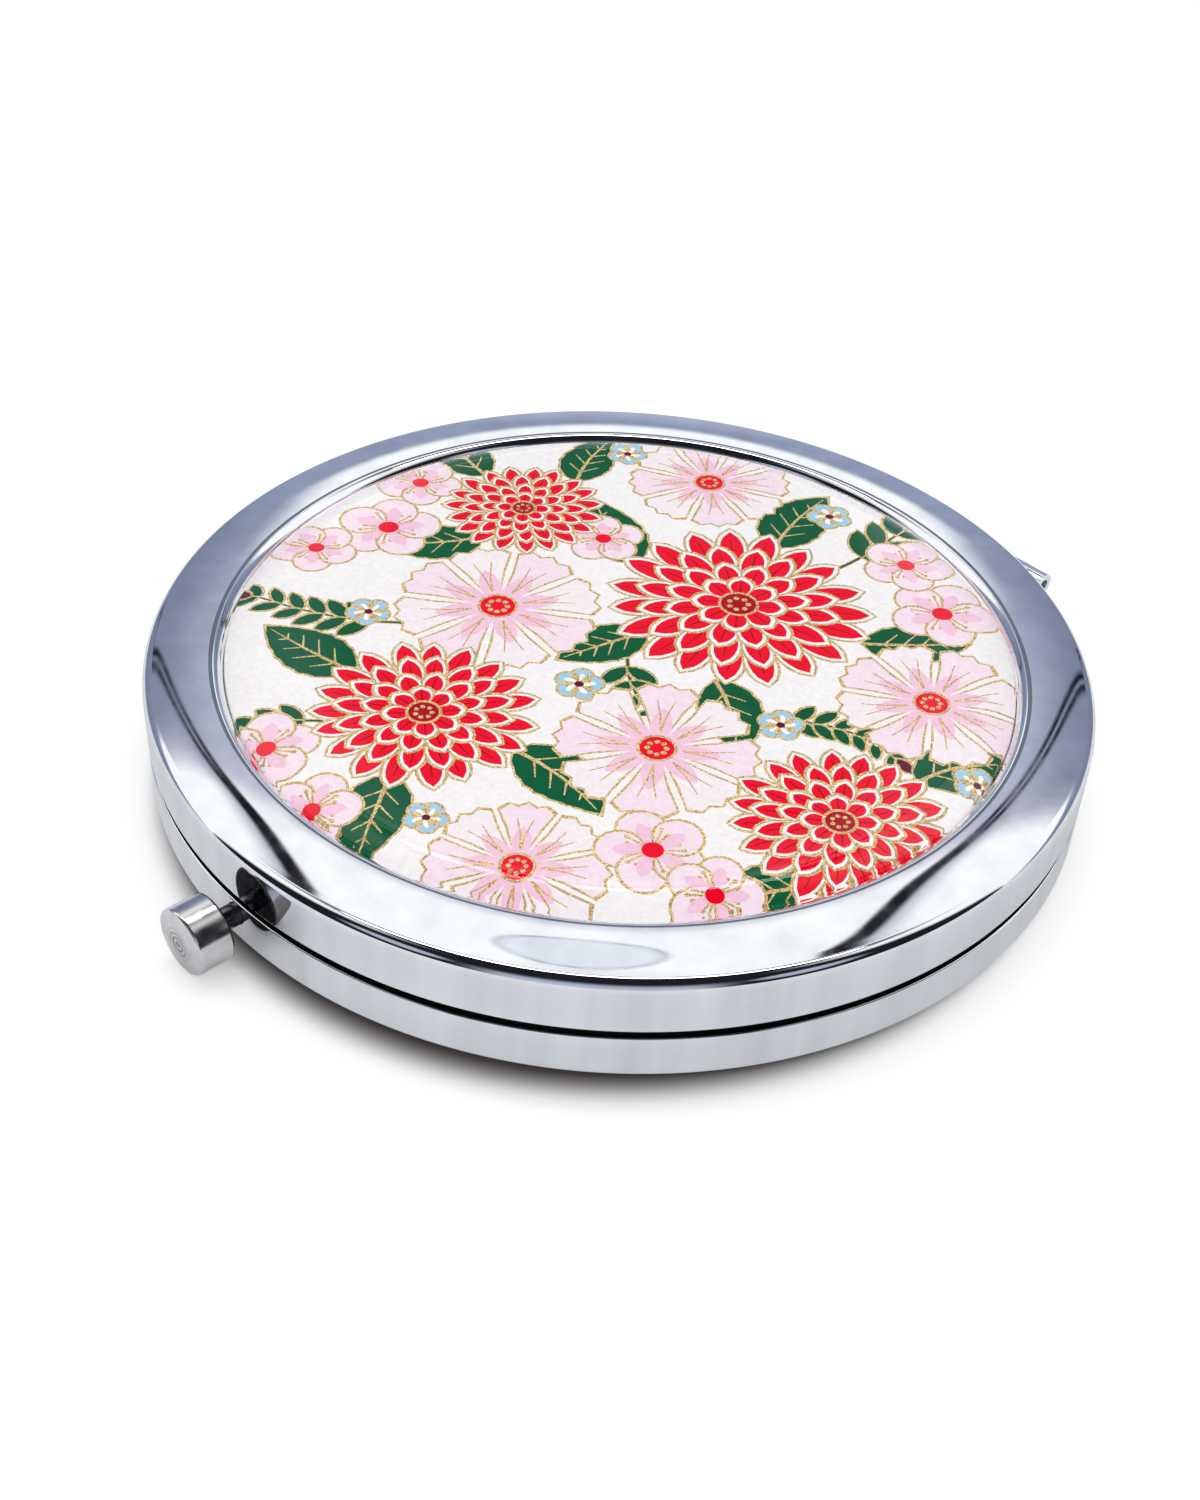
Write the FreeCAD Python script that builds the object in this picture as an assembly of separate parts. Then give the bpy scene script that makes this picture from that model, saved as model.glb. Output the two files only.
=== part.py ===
# Round compact mirror: two stamped shells hinged at the back, each lined with a moulded mirror frame.
# A wire catch holds the lid's hook, and a push button in the base bends the wire aside.
# Z is up, the origin is the centre of the flat bottom, the button is at -Y and the hinge at +Y.
import FreeCAD, Part
import math
import os

# Case
case_diameter = 70.0
sheet_thickness = 0.4
base_side_height = 3.42
lid_side_height = 4.12
parting_gap = 0.6
base_edge_radius = 0.45
lid_edge_radius = 0.8
rim_edge_radius = 0.12

# Bevel around both shells, a little steeper outside than inside
bevel_width = 5.75
bevel_rise = 0.43
bevel_radius = 45.0
bevel_break_share = 0.5
bevel_break_rise_share = 0.76

# Recessed tray in the lid
tray_depth = 1.3
crest_radius = 1.0
tray_corner_radius = 0.25

# Printed disc and resin dome
dome_clearance = 0.1
film_thickness = 0.05
paper_thickness = 0.15
dome_edge_drop = 0.4
dome_rim_radius = 0.3
dome_edge_rise = 0.9
dome_edge_width = 1.5
dome_edge_radius = 4.0
dome_shoulder_rise = 0.28
dome_shoulder_width = 12.0
dome_shoulder_round_share = 0.875

# Mirrors and their adhesive discs
mirror_thickness = 1.5
mirror_edge_chamfer = 0.25
mirror_dish = 0.5
mirror_clearance = 0.1
mirror_recess = 0.7
tape_inset = 2.0
tape_thickness = 0.3

# Moulded frames
frame_clearance = 0.1
seat_gap = 0.02
closed_frame_gap = 0.1
frame_lip_width = 0.8
frame_lip_slope = 0.3
frame_land_drop = 0.4

# Hinge: strips rolled round a pin
hinge_length = 24.0
hinge_axis_offset = 2.1
middle_knuckle_length = 9.8
knuckle_gap = 0.2
pin_diameter = 0.95
pin_recess = 0.3
pin_grip_clearance = 0.005
pin_running_clearance = 0.03
leaf_thickness = 0.5
leaf_flange_height = 2.2
leaf_clearance = 0.1
curl_end_angle = 200.0

# Push button and its clip
button_diameter = 4.9
button_length = 2.6
button_face_rise = 0.25
button_face_radius = 8.0
button_face_break_share = 0.55
button_edge_radius = 0.2
button_stand_off = 1.7
button_travel = 1.0
stem_diameter = 1.6
stem_clearance = 0.05
stem_drop = 1.1
stem_tip_chamfer = 0.2
stem_tip_gap = 0.05
saddle_wall = 0.2
clip_thickness = 0.35
clip_flange = 0.3
clip_groove_depth = 0.25
clip_clearance = 0.03
clip_mouth_share = 0.8

# Wire catch and its trough
wire_diameter = 0.6
wire_from_wall = 2.7
wire_middle_length = 6.8
wire_arm_radius = 24.0
wire_arm_angle = 22.0
wire_bend_radius = 0.7
wire_leg_length = 0.6
wire_clearance = 0.1
wire_leg_clearance = 0.25
trough_wall = 1.1
trough_end_angle = 26.0

# Hook under the lid
hook_thickness = 0.6
hook_plate_thickness = 0.5
hook_plate_length = 10.0
hook_plate_width = 2.3
hook_bend_radius = 0.3
hook_clearance = 0.1
prong_width = 1.5
prong_saddle_clearance = 0.15
prong_wire_gap = 0.2
barb_overlap = 0.5
barb_drop = 0.1
barb_face = 0.2
barb_lead = 0.65
pocket_floor_clearance = 0.3
pocket_side_clearance = 1.8

# Cover plate over the trough
cover_thickness = 0.35
cover_end_angle = 33.0
cover_clearance = 0.1
cover_slot_clearance = 0.3

# Rivets
rivet_shank_diameter = 0.9
rivet_head_diameter = 1.7
rivet_head_height = 0.3
rivet_head_chamfer = 0.2
rivet_grip_length = 1.2
rivet_clearance = 0.01
cover_rivet_angle = 29.5
hook_rivet_inset = 1.2

# How far cutting shapes reach past the faces that they cut, in length and in angle
cut_overrun = 1.0
recess_end_angle = 1.0

# Case radii and heights
case_radius = case_diameter / 2
inner_radius = case_radius - sheet_thickness
tray_radius = case_radius - bevel_width
bevel_break_radius = case_radius - bevel_width * bevel_break_share
bevel_break_rise = bevel_rise * bevel_break_rise_share
base_rim = bevel_rise + base_side_height
parting_height = base_rim + parting_gap / 2
lid_rim = base_rim + parting_gap
lid_edge = lid_rim + lid_side_height
crest_height = lid_edge + bevel_rise
tray_floor = crest_height - tray_depth

# Stack in the tray
film_top = tray_floor + film_thickness
paper_top = film_top + paper_thickness
print_radius = tray_radius - tray_corner_radius - seat_gap
dome_radius = tray_radius - dome_clearance
dome_edge = crest_height - dome_edge_drop

# Button, wire and trough
stem_radius = stem_diameter / 2
stem_height = base_rim - stem_drop
button_back = -(case_radius + button_stand_off)
wire_radius = wire_diameter / 2
wire_y = -(inner_radius - wire_from_wall)
stem_tip = wire_y - wire_radius - stem_tip_gap
frame_radius = inner_radius - frame_clearance
trough_inner_radius = -wire_y - wire_radius - button_travel
trough_outer_radius = frame_radius - trough_wall
trough_floor = stem_height - wire_radius - wire_clearance
clip_radius = stem_radius + clip_flange
clip_outer_face = -(math.sqrt(inner_radius ** 2 - clip_radius ** 2) - clip_clearance)

# Mirror frames
lip_outer_radius = trough_inner_radius - frame_lip_slope - frame_clearance
lip_inner_radius = lip_outer_radius - frame_lip_width
seat_radius = lip_inner_radius - frame_lip_slope
mirror_radius = seat_radius - mirror_clearance
mirror_stack = tape_thickness + mirror_thickness + mirror_recess
base_lip = parting_height - closed_frame_gap / 2
lid_lip = parting_height + closed_frame_gap / 2
base_seat = base_lip - mirror_stack
lid_seat = lid_lip + mirror_stack
base_land = base_rim - frame_land_drop
lid_land = lid_rim + frame_land_drop
base_frame_bottom = sheet_thickness + seat_gap
lid_frame_top = tray_floor - sheet_thickness - seat_gap

# Hinge
hinge_y = case_radius + hinge_axis_offset
pin_radius = pin_diameter / 2
grip_bore_radius = pin_radius + pin_grip_clearance
running_bore_radius = pin_radius + pin_running_clearance
flange_outer_radius = inner_radius - seat_gap
flange_inner_radius = flange_outer_radius - leaf_thickness
flange_half_angle = math.degrees(math.asin(hinge_length / 2 / inner_radius))
outer_knuckle_start = middle_knuckle_length / 2 + knuckle_gap
base_knuckles = [(-hinge_length / 2, -outer_knuckle_start), (outer_knuckle_start, hinge_length / 2)]
lid_knuckles = [(-middle_knuckle_length / 2, middle_knuckle_length / 2)]

# Hook
prong_inner_face = wire_y - wire_radius - prong_wire_gap
prong_outer_face = prong_inner_face - hook_thickness
saddle_half_width = stem_radius + saddle_wall
prong_start = saddle_half_width + prong_saddle_clearance
prong_end = prong_start + prong_width
barb_tip = wire_y - wire_radius + barb_overlap
barb_top = stem_height - wire_radius - barb_drop
prong_bottom = barb_top - barb_face - barb_lead
pocket_floor = prong_bottom - pocket_floor_clearance
pocket_half_width = prong_end + pocket_side_clearance
hook_plate_edge = prong_outer_face + hook_plate_width
hook_plate_top = lid_land + hook_plate_thickness

# Cover plate and rivets
cover_inner_radius = trough_inner_radius
cover_outer_radius = frame_radius - cover_clearance
cover_middle_radius = (cover_inner_radius + cover_outer_radius) / 2
cover_bottom = base_land - cover_thickness
rivet_shank_radius = rivet_shank_diameter / 2
rivet_hole_radius = rivet_shank_radius + rivet_clearance
hook_rivet_x = hook_plate_length / 2 - hook_rivet_inset
hook_rivet_y = (prong_inner_face + hook_plate_edge) / 2
hook_rivet_places = [(side * hook_rivet_x, hook_rivet_y) for side in (-1, 1)]

FRONT = -90.0
REAR = 90.0
FULL_TURN = 360.0
CENTRE = FreeCAD.Vector(0, 0, 0)
UP = FreeCAD.Vector(0, 0, 1)
ALONG_X = FreeCAD.Vector(1, 0, 0)
ALONG_Y = FreeCAD.Vector(0, 1, 0)


# Shapes that several pieces use

def polar(radius, angle, height=0):
    """Point at a radius and an angle from +X, in degrees."""
    turn = math.radians(angle)
    return FreeCAD.Vector(radius * math.cos(turn), radius * math.sin(turn), height)


def in_section(points):
    """Points (radius, height) of a turned section."""
    return [FreeCAD.Vector(radius, 0, height) for radius, height in points]


def in_side_view(points):
    """Points (y, z) seen along X."""
    return [FreeCAD.Vector(0, y, z) for y, z in points]


def rounded_face(corners, radii):
    """Face with these corners, each rounded by its own radius; 0 keeps a corner sharp."""
    rounds = []
    for i, (corner, radius) in enumerate(zip(corners, radii)):
        back = (corners[i - 1] - corner).normalize()
        ahead = (corners[(i + 1) % len(corners)] - corner).normalize()
        half = back.getAngle(ahead) / 2
        reach = radius / math.tan(half)
        crown = corner + (back + ahead).normalize() * (radius / math.sin(half) - radius)
        rounds.append((corner + back * reach, crown, corner + ahead * reach))
    edges = []
    for i, (start, crown, end) in enumerate(rounds):
        if radii[i] > 0:
            edges.append(Part.Arc(start, crown, end).toShape())
        edges.append(Part.makeLine(end, rounds[(i + 1) % len(rounds)][0]))
    return Part.Face(Part.Wire(edges))


def turned(corners, radii):
    """Solid turned about the Z axis from a rounded section."""
    return rounded_face(in_section(corners), radii).revolve(CENTRE, UP, FULL_TURN)


def disc(radius, bottom, top):
    return Part.makeCylinder(radius, top - bottom, UP * bottom)


def box(x_range, y_range, z_range):
    sizes = [high - low for low, high in (x_range, y_range, z_range)]
    return Part.makeBox(*sizes, FreeCAD.Vector(x_range[0], y_range[0], z_range[0]))


def ring_sector(inner, outer, bottom, top, middle_angle, half_angle):
    """Piece of a flat ring around the Z axis."""
    section = in_section([(inner, bottom), (outer, bottom), (outer, top), (inner, top)])
    start = rounded_face(section, [0] * len(section))
    start.rotate(CENTRE, UP, middle_angle - half_angle)
    return start.revolve(CENTRE, UP, 2 * half_angle)


def stem_cylinder(radius, y_start, y_end):
    """Cylinder on the button's axis."""
    return Part.makeCylinder(radius, y_end - y_start, FreeCAD.Vector(0, y_start, stem_height), ALONG_Y)


def drill(x, y, radius, bottom, top):
    return Part.makeCylinder(radius, top - bottom, FreeCAD.Vector(x, y, bottom))


def stamped(corners, radii, thickness):
    """Turned sheet: the corners are its outer line, and the sheet lies on the right of the line.
    The inner line, which the linings hide, keeps its corners sharp."""
    runs = [(b[0] - a[0], b[1] - a[1]) for a, b in zip(corners, corners[1:])]
    units = [(dr / math.hypot(dr, dz), dz / math.hypot(dr, dz)) for dr, dz in runs]
    inner = []
    for i, (radius, height) in enumerate(corners):
        before = units[max(i - 1, 0)]
        after = units[min(i, len(units) - 1)]
        reach = thickness / (1 + before[0] * after[0] + before[1] * after[1])
        inner.append((radius + (before[1] + after[1]) * reach, height - (before[0] + after[0]) * reach))
    return turned(corners + inner[::-1], radii + [0] * len(inner))


# Shells

def leaf_notches(knuckles, bottom, top):
    """Slots at the back of a rim, one for each strip of a hinge leaf."""
    slots = []
    for start, end in knuckles:
        low = math.degrees(math.asin((start - leaf_clearance) / inner_radius))
        high = math.degrees(math.asin((end + leaf_clearance) / inner_radius))
        slots.append(ring_sector(flange_inner_radius, case_radius + cut_overrun, bottom, top,
                                 REAR - (low + high) / 2, (high - low) / 2))
    return slots


def make_base_shell():
    corners = [
        (case_radius, base_rim),
        (case_radius, bevel_rise),
        (bevel_break_radius, bevel_rise - bevel_break_rise),
        (tray_radius, 0),
        (0, 0),
    ]
    shell = stamped(corners, [rim_edge_radius, base_edge_radius, bevel_radius, 0, 0], sheet_thickness)
    hole = stem_cylinder(stem_radius + stem_clearance, -case_radius - cut_overrun, -inner_radius + cut_overrun)
    strip_bottom = parting_height - grip_bore_radius - leaf_thickness
    notches = leaf_notches(base_knuckles, strip_bottom - leaf_clearance, base_rim + cut_overrun)
    return shell.cut([hole] + notches)


def make_lid_shell():
    corners = [
        (0, tray_floor),
        (tray_radius, tray_floor),
        (tray_radius, crest_height),
        (bevel_break_radius, lid_edge + bevel_break_rise),
        (case_radius, lid_edge),
        (case_radius, lid_rim),
    ]
    radii = [0, tray_corner_radius, crest_radius, bevel_radius, lid_edge_radius, rim_edge_radius]
    strip_top = parting_height + running_bore_radius + leaf_thickness
    notches = leaf_notches(lid_knuckles, lid_rim - cut_overrun, strip_top + leaf_clearance)
    return stamped(corners, radii, sheet_thickness).cut(notches)


# Print and dome

def make_tray_adhesive():
    return disc(print_radius, tray_floor, film_top)


def make_printed_disc():
    return disc(print_radius, film_top, paper_top)


def make_resin_dome():
    edge_end = (dome_radius - dome_edge_width, dome_edge + dome_edge_rise)
    shoulder_end = (edge_end[0] - dome_shoulder_width, edge_end[1] + dome_shoulder_rise)
    shoulder_reach = min(dome_shoulder_width, shoulder_end[0]) * dome_shoulder_round_share
    shoulder_slope = math.atan2(dome_shoulder_rise, dome_shoulder_width)
    shoulder_radius = shoulder_reach / math.tan(shoulder_slope / 2)
    corners = [
        (0, paper_top),
        (dome_radius, paper_top),
        (dome_radius, dome_edge),
        edge_end,
        shoulder_end,
        (0, shoulder_end[1]),
    ]
    return turned(corners, [0, 0, dome_rim_radius, dome_edge_radius, shoulder_radius, 0])


# Mirrors

def mirror_section(bottom):
    """Corners of a glass disc with seamed edges, from its back's centre to its face's edge."""
    top = bottom + mirror_thickness
    chamfer = mirror_edge_chamfer
    return [
        (0, bottom),
        (mirror_radius - chamfer, bottom),
        (mirror_radius, bottom + chamfer),
        (mirror_radius, top - chamfer),
        (mirror_radius - chamfer, top),
    ]


def make_base_mirror():
    """Glass with a face dished like a shallow bowl, which magnifies."""
    corners = in_section(mirror_section(base_seat + tape_thickness))
    face_edge = corners[-1]
    face_centre = UP * (face_edge.z - mirror_dish)
    bowl_radius = (face_edge.x ** 2 + mirror_dish ** 2) / (2 * mirror_dish)
    halfway = face_edge.x / 2
    rise = bowl_radius - math.sqrt(bowl_radius ** 2 - halfway ** 2)
    bowl = Part.Arc(face_edge, FreeCAD.Vector(halfway, 0, face_centre.z + rise), face_centre).toShape()
    sides = Part.makePolygon([face_centre] + corners).Edges
    return Part.Face(Part.Wire(sides + [bowl])).revolve(CENTRE, UP, FULL_TURN)


def make_lid_mirror():
    back = lid_seat - tape_thickness
    corners = mirror_section(back - mirror_thickness) + [(0, back)]
    return turned(corners, [0] * len(corners))


def make_base_mirror_tape():
    return disc(mirror_radius - tape_inset, base_seat, base_seat + tape_thickness)


def make_lid_mirror_tape():
    return disc(mirror_radius - tape_inset, lid_seat - tape_thickness, lid_seat)


# Moulded frames

def leaf_recess(bottom, top):
    """Room at the back of a frame for a hinge leaf's flange."""
    inner = flange_inner_radius - frame_clearance
    return ring_sector(inner, case_radius, bottom, top, REAR, flange_half_angle + recess_end_angle)


def latch_pocket():
    """Well behind the button, in which the stem, its clip and the hook's prongs move."""
    top = base_land + cut_overrun
    well = box((-pocket_half_width, pocket_half_width), (-case_radius, 0), (pocket_floor, top))
    return well.cut(disc(trough_inner_radius, pocket_floor, top))


def stem_saddle():
    """Cradle that guides the stem between the hook's prongs."""
    block = box((-saddle_half_width, saddle_half_width), (prong_outer_face, prong_inner_face),
                (pocket_floor, stem_height))
    return block.cut(stem_cylinder(stem_radius + stem_clearance, prong_outer_face, prong_inner_face))


def wire_arm_room(side, top):
    """Slot along one arm of the wire, which keeps it clear of the trough's walls."""
    room = wire_radius + wire_clearance
    half_angle = (wire_arm_angle + math.degrees(wire_bend_radius / wire_arm_radius)) / 2
    slot = ring_sector(wire_arm_radius - room, wire_arm_radius + room, trough_floor, top,
                       FRONT + side * half_angle, half_angle)
    slot.translate(FreeCAD.Vector(side * wire_middle_length / 2, wire_y + wire_arm_radius, 0))
    return slot


def cover_rivet_places():
    places = [polar(cover_middle_radius, FRONT + side * cover_rivet_angle) for side in (-1, 1)]
    return [(place.x, place.y) for place in places]


def make_base_frame():
    corners = [
        (0, base_frame_bottom),
        (tray_radius, base_frame_bottom),
        (frame_radius, base_frame_bottom + bevel_rise + frame_clearance),
        (frame_radius, base_land),
        (lip_outer_radius + frame_lip_slope, base_land),
        (lip_outer_radius, base_lip),
        (lip_inner_radius, base_lip),
        (seat_radius, base_lip - mirror_recess),
        (seat_radius, base_seat),
        (0, base_seat),
    ]
    top = base_land + cut_overrun
    cuts = [
        latch_pocket(),
        ring_sector(trough_inner_radius, trough_outer_radius, trough_floor, top, FRONT, trough_end_angle),
        ring_sector(cover_inner_radius - cover_clearance, case_radius, cover_bottom - seat_gap, top,
                    FRONT, cover_end_angle + recess_end_angle),
        leaf_recess(parting_height - grip_bore_radius - leaf_flange_height - frame_clearance, top),
    ]
    leg = wire_leg_end()
    for side in (-1, 1):
        cuts.append(wire_arm_room(side, top))
        cuts.append(drill(side * leg.x, leg.y, wire_radius + wire_leg_clearance, leg.z - wire_clearance, top))
    for x, y in cover_rivet_places():
        cuts.append(drill(x, y, rivet_hole_radius, cover_bottom - rivet_grip_length - seat_gap, top))
    blank = turned(corners, [0] * len(corners))
    return blank.cut(cuts).fuse(stem_saddle()).removeSplitter()


def make_lid_frame():
    corners = [
        (0, lid_frame_top),
        (frame_radius, lid_frame_top),
        (frame_radius, lid_land),
        (lip_outer_radius + frame_lip_slope, lid_land),
        (lip_outer_radius, lid_lip),
        (lip_inner_radius, lid_lip),
        (seat_radius, lid_lip + mirror_recess),
        (seat_radius, lid_seat),
        (0, lid_seat),
    ]
    bottom = lid_land - cut_overrun
    half_length = hook_plate_length / 2 + hook_clearance
    plate_room = box((-half_length, half_length),
                     (prong_outer_face - hook_clearance, hook_plate_edge + hook_clearance),
                     (bottom, hook_plate_top + seat_gap))
    flange_top = parting_height + running_bore_radius + leaf_flange_height
    cuts = [plate_room, leaf_recess(bottom, flange_top + frame_clearance)]
    for x, y in hook_rivet_places:
        cuts.append(drill(x, y, rivet_hole_radius, bottom, hook_plate_top + rivet_grip_length + seat_gap))
    return turned(corners, [0] * len(corners)).cut(cuts).removeSplitter()


# Hinge

def rolled_strip(bore_radius, x_start, x_end):
    """Strip that runs in under the hinge axis and curls round the pin."""
    outer_radius = bore_radius + leaf_thickness
    inner_end = math.sqrt(flange_inner_radius ** 2 - (hinge_length / 2) ** 2)

    def on_curl(radius, angle):
        turn = math.radians(angle)
        return FreeCAD.Vector(x_start, hinge_y + radius * math.cos(turn), parting_height + radius * math.sin(turn))

    middle_angle = (curl_end_angle + FRONT) / 2
    outer_start = on_curl(outer_radius, FRONT)
    outer_end = on_curl(outer_radius, curl_end_angle)
    bore_start = on_curl(bore_radius, curl_end_angle)
    bore_end = on_curl(bore_radius, FRONT)
    strip_top = FreeCAD.Vector(x_start, inner_end, bore_end.z)
    strip_bottom = FreeCAD.Vector(x_start, inner_end, outer_start.z)
    outline = Part.Wire([
        Part.Arc(outer_start, on_curl(outer_radius, middle_angle), outer_end).toShape(),
        Part.makeLine(outer_end, bore_start),
        Part.Arc(bore_start, on_curl(bore_radius, middle_angle), bore_end).toShape(),
        Part.makeLine(bore_end, strip_top),
        Part.makeLine(strip_top, strip_bottom),
        Part.makeLine(strip_bottom, outer_start),
    ])
    return Part.Face(outline).extrude(ALONG_X * (x_end - x_start))


def hinge_leaf(bore_radius, knuckles):
    """Curved flange on the inside of the wall, with strips that pass through it to the pin."""
    top = parting_height - bore_radius
    flange = ring_sector(flange_inner_radius, flange_outer_radius, top - leaf_flange_height, top,
                         REAR, flange_half_angle)
    inside = disc(flange_inner_radius, 0, crest_height)
    strips = [rolled_strip(bore_radius, start, end).cut(inside) for start, end in knuckles]
    return flange.fuse(strips).removeSplitter()


def make_base_hinge_leaf():
    return hinge_leaf(grip_bore_radius, base_knuckles)


def make_lid_hinge_leaf():
    return hinge_leaf(running_bore_radius, lid_knuckles).mirror(UP * parting_height, UP)


def make_hinge_pin():
    half_length = hinge_length / 2 - pin_recess
    start = FreeCAD.Vector(-half_length, hinge_y, parting_height)
    return Part.makeCylinder(pin_radius, 2 * half_length, start, ALONG_X)


# Button

def make_push_button():
    head_radius = button_diameter / 2
    face_edge = button_back - button_length
    face = face_edge - button_face_rise
    groove_radius = stem_radius - clip_groove_depth
    groove_start = clip_outer_face - clip_clearance
    groove_end = clip_outer_face + clip_thickness + clip_clearance
    outline = [
        (0, face),
        (head_radius * button_face_break_share, face),
        (head_radius, face_edge),
        (head_radius, button_back),
        (stem_radius, button_back),
        (stem_radius, groove_start),
        (groove_radius, groove_start),
        (groove_radius, groove_end),
        (stem_radius, groove_end),
        (stem_radius, stem_tip - stem_tip_chamfer),
        (stem_radius - stem_tip_chamfer, stem_tip),
        (0, stem_tip),
    ]
    radii = [0, button_face_radius, button_edge_radius, button_edge_radius] + [0] * (len(outline) - 4)
    section = rounded_face([FreeCAD.Vector(radius, y, stem_height) for radius, y in outline], radii)
    return section.revolve(UP * stem_height, ALONG_Y, FULL_TURN)


def make_retaining_clip():
    bore = stem_radius - clip_groove_depth + clip_clearance
    inner_face = clip_outer_face + clip_thickness
    ring = stem_cylinder(clip_radius, clip_outer_face, inner_face)
    mouth_half_width = bore * clip_mouth_share
    mouth = box((-mouth_half_width, mouth_half_width), (clip_outer_face, inner_face),
                (stem_height - clip_radius, stem_height))
    return ring.cut([stem_cylinder(bore, clip_outer_face, inner_face), mouth])


# Catch

def wire_arm_end():
    """Where the wire's right arm turns down, and the way that it points there."""
    turn = math.radians(wire_arm_angle)
    along = FreeCAD.Vector(math.cos(turn), math.sin(turn), 0)
    x = wire_middle_length / 2 + wire_arm_radius * math.sin(turn)
    y = wire_y + wire_arm_radius * (1 - math.cos(turn))
    return FreeCAD.Vector(x, y, stem_height), along


def wire_leg_end():
    arm_end, along = wire_arm_end()
    return arm_end + along * wire_bend_radius - UP * (wire_bend_radius + wire_leg_length)


def wire_half(side):
    """Edges of one half of the wire's line, from its middle to its leg's end."""
    def place(point):
        return FreeCAD.Vector(side * point.x, point.y, point.z)

    middle_end = FreeCAD.Vector(wire_middle_length / 2, wire_y, stem_height)
    half_turn = math.radians(wire_arm_angle / 2)
    arm_middle = middle_end + FreeCAD.Vector(wire_arm_radius * math.sin(half_turn),
                                             wire_arm_radius * (1 - math.cos(half_turn)), 0)
    arm_end, along = wire_arm_end()
    bend_turn = math.radians(REAR / 2)
    bend_middle = arm_end + along * (wire_bend_radius * math.sin(bend_turn))
    bend_middle -= UP * (wire_bend_radius * (1 - math.cos(bend_turn)))
    bend_end = arm_end + (along - UP) * wire_bend_radius
    return [
        Part.makeLine(FreeCAD.Vector(0, wire_y, stem_height), place(middle_end)),
        Part.Arc(place(middle_end), place(arm_middle), place(arm_end)).toShape(),
        Part.Arc(place(arm_end), place(bend_middle), place(bend_end)).toShape(),
        Part.makeLine(place(bend_end), place(wire_leg_end())),
    ]


def make_catch_spring():
    line = Part.Wire(wire_half(-1)[::-1] + wire_half(1))
    leg = wire_leg_end()
    start = FreeCAD.Vector(-leg.x, leg.y, leg.z)
    section = Part.Wire(Part.makeCircle(wire_radius, start, UP))
    return line.makePipeShell([section], True, False)


def make_catch_hook():
    half_length = hook_plate_length / 2
    plate_outline = in_side_view([
        (prong_outer_face, lid_land),
        (hook_plate_edge, lid_land),
        (hook_plate_edge, hook_plate_top),
        (prong_outer_face, hook_plate_top),
    ])
    prong_outline = in_side_view([
        (prong_outer_face, prong_bottom),
        (prong_inner_face, prong_bottom),
        (barb_tip, barb_top - barb_face),
        (barb_tip, barb_top),
        (prong_inner_face, barb_top),
        (prong_inner_face, lid_land),
        (hook_plate_edge, lid_land),
        (hook_plate_edge, hook_plate_top),
        (prong_outer_face, hook_plate_top),
    ])
    outer_bend = [hook_bend_radius]
    plate_face = rounded_face(plate_outline, [0, 0, 0] + outer_bend)
    prong_face = rounded_face(prong_outline, [0, 0, 0, 0, 0, hook_bend_radius, 0, 0] + outer_bend)
    plate = plate_face.extrude(ALONG_X * hook_plate_length)
    plate.translate(ALONG_X * -half_length)
    prongs = []
    for start in (-prong_end, prong_start):
        prong = prong_face.extrude(ALONG_X * prong_width)
        prong.translate(ALONG_X * start)
        prongs.append(prong)
    holes = [drill(x, y, rivet_hole_radius, lid_land, hook_plate_top) for x, y in hook_rivet_places]
    return plate.fuse(prongs).removeSplitter().cut(holes)


def make_latch_cover():
    plate = ring_sector(cover_inner_radius, cover_outer_radius, cover_bottom, base_land, FRONT, cover_end_angle)
    slot_half_width = prong_end + cover_slot_clearance
    slot = box((-slot_half_width, slot_half_width),
               (prong_outer_face - cover_slot_clearance, barb_tip + cover_slot_clearance),
               (cover_bottom, base_land))
    notch_half_width = clip_radius + cover_slot_clearance
    notch_end = stem_tip + button_travel + cover_clearance
    notch = box((-notch_half_width, notch_half_width), (-case_radius, notch_end), (cover_bottom, base_land))
    holes = [drill(x, y, rivet_hole_radius, cover_bottom, base_land) for x, y in cover_rivet_places()]
    return plate.cut([slot, notch] + holes)


# Rivets

def rivet(shank_length):
    """Rivet with its head above the origin and its shank below."""
    head_radius = rivet_head_diameter / 2
    corners = [
        (0, rivet_head_height),
        (0, -shank_length),
        (rivet_shank_radius, -shank_length),
        (rivet_shank_radius, 0),
        (head_radius, 0),
        (head_radius, rivet_head_height - rivet_head_chamfer),
        (head_radius - rivet_head_chamfer, rivet_head_height),
    ]
    return turned(corners, [0] * len(corners))


def make_cover_rivets():
    rivets = []
    for x, y in cover_rivet_places():
        piece = rivet(cover_thickness + rivet_grip_length)
        piece.translate(FreeCAD.Vector(x, y, base_land))
        rivets.append(piece)
    return Part.makeCompound(rivets)


def make_hook_rivets():
    rivets = []
    for x, y in hook_rivet_places:
        piece = rivet(hook_plate_thickness + rivet_grip_length).mirror(CENTRE, UP)
        piece.translate(FreeCAD.Vector(x, y, lid_land))
        rivets.append(piece)
    return Part.makeCompound(rivets)


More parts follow.
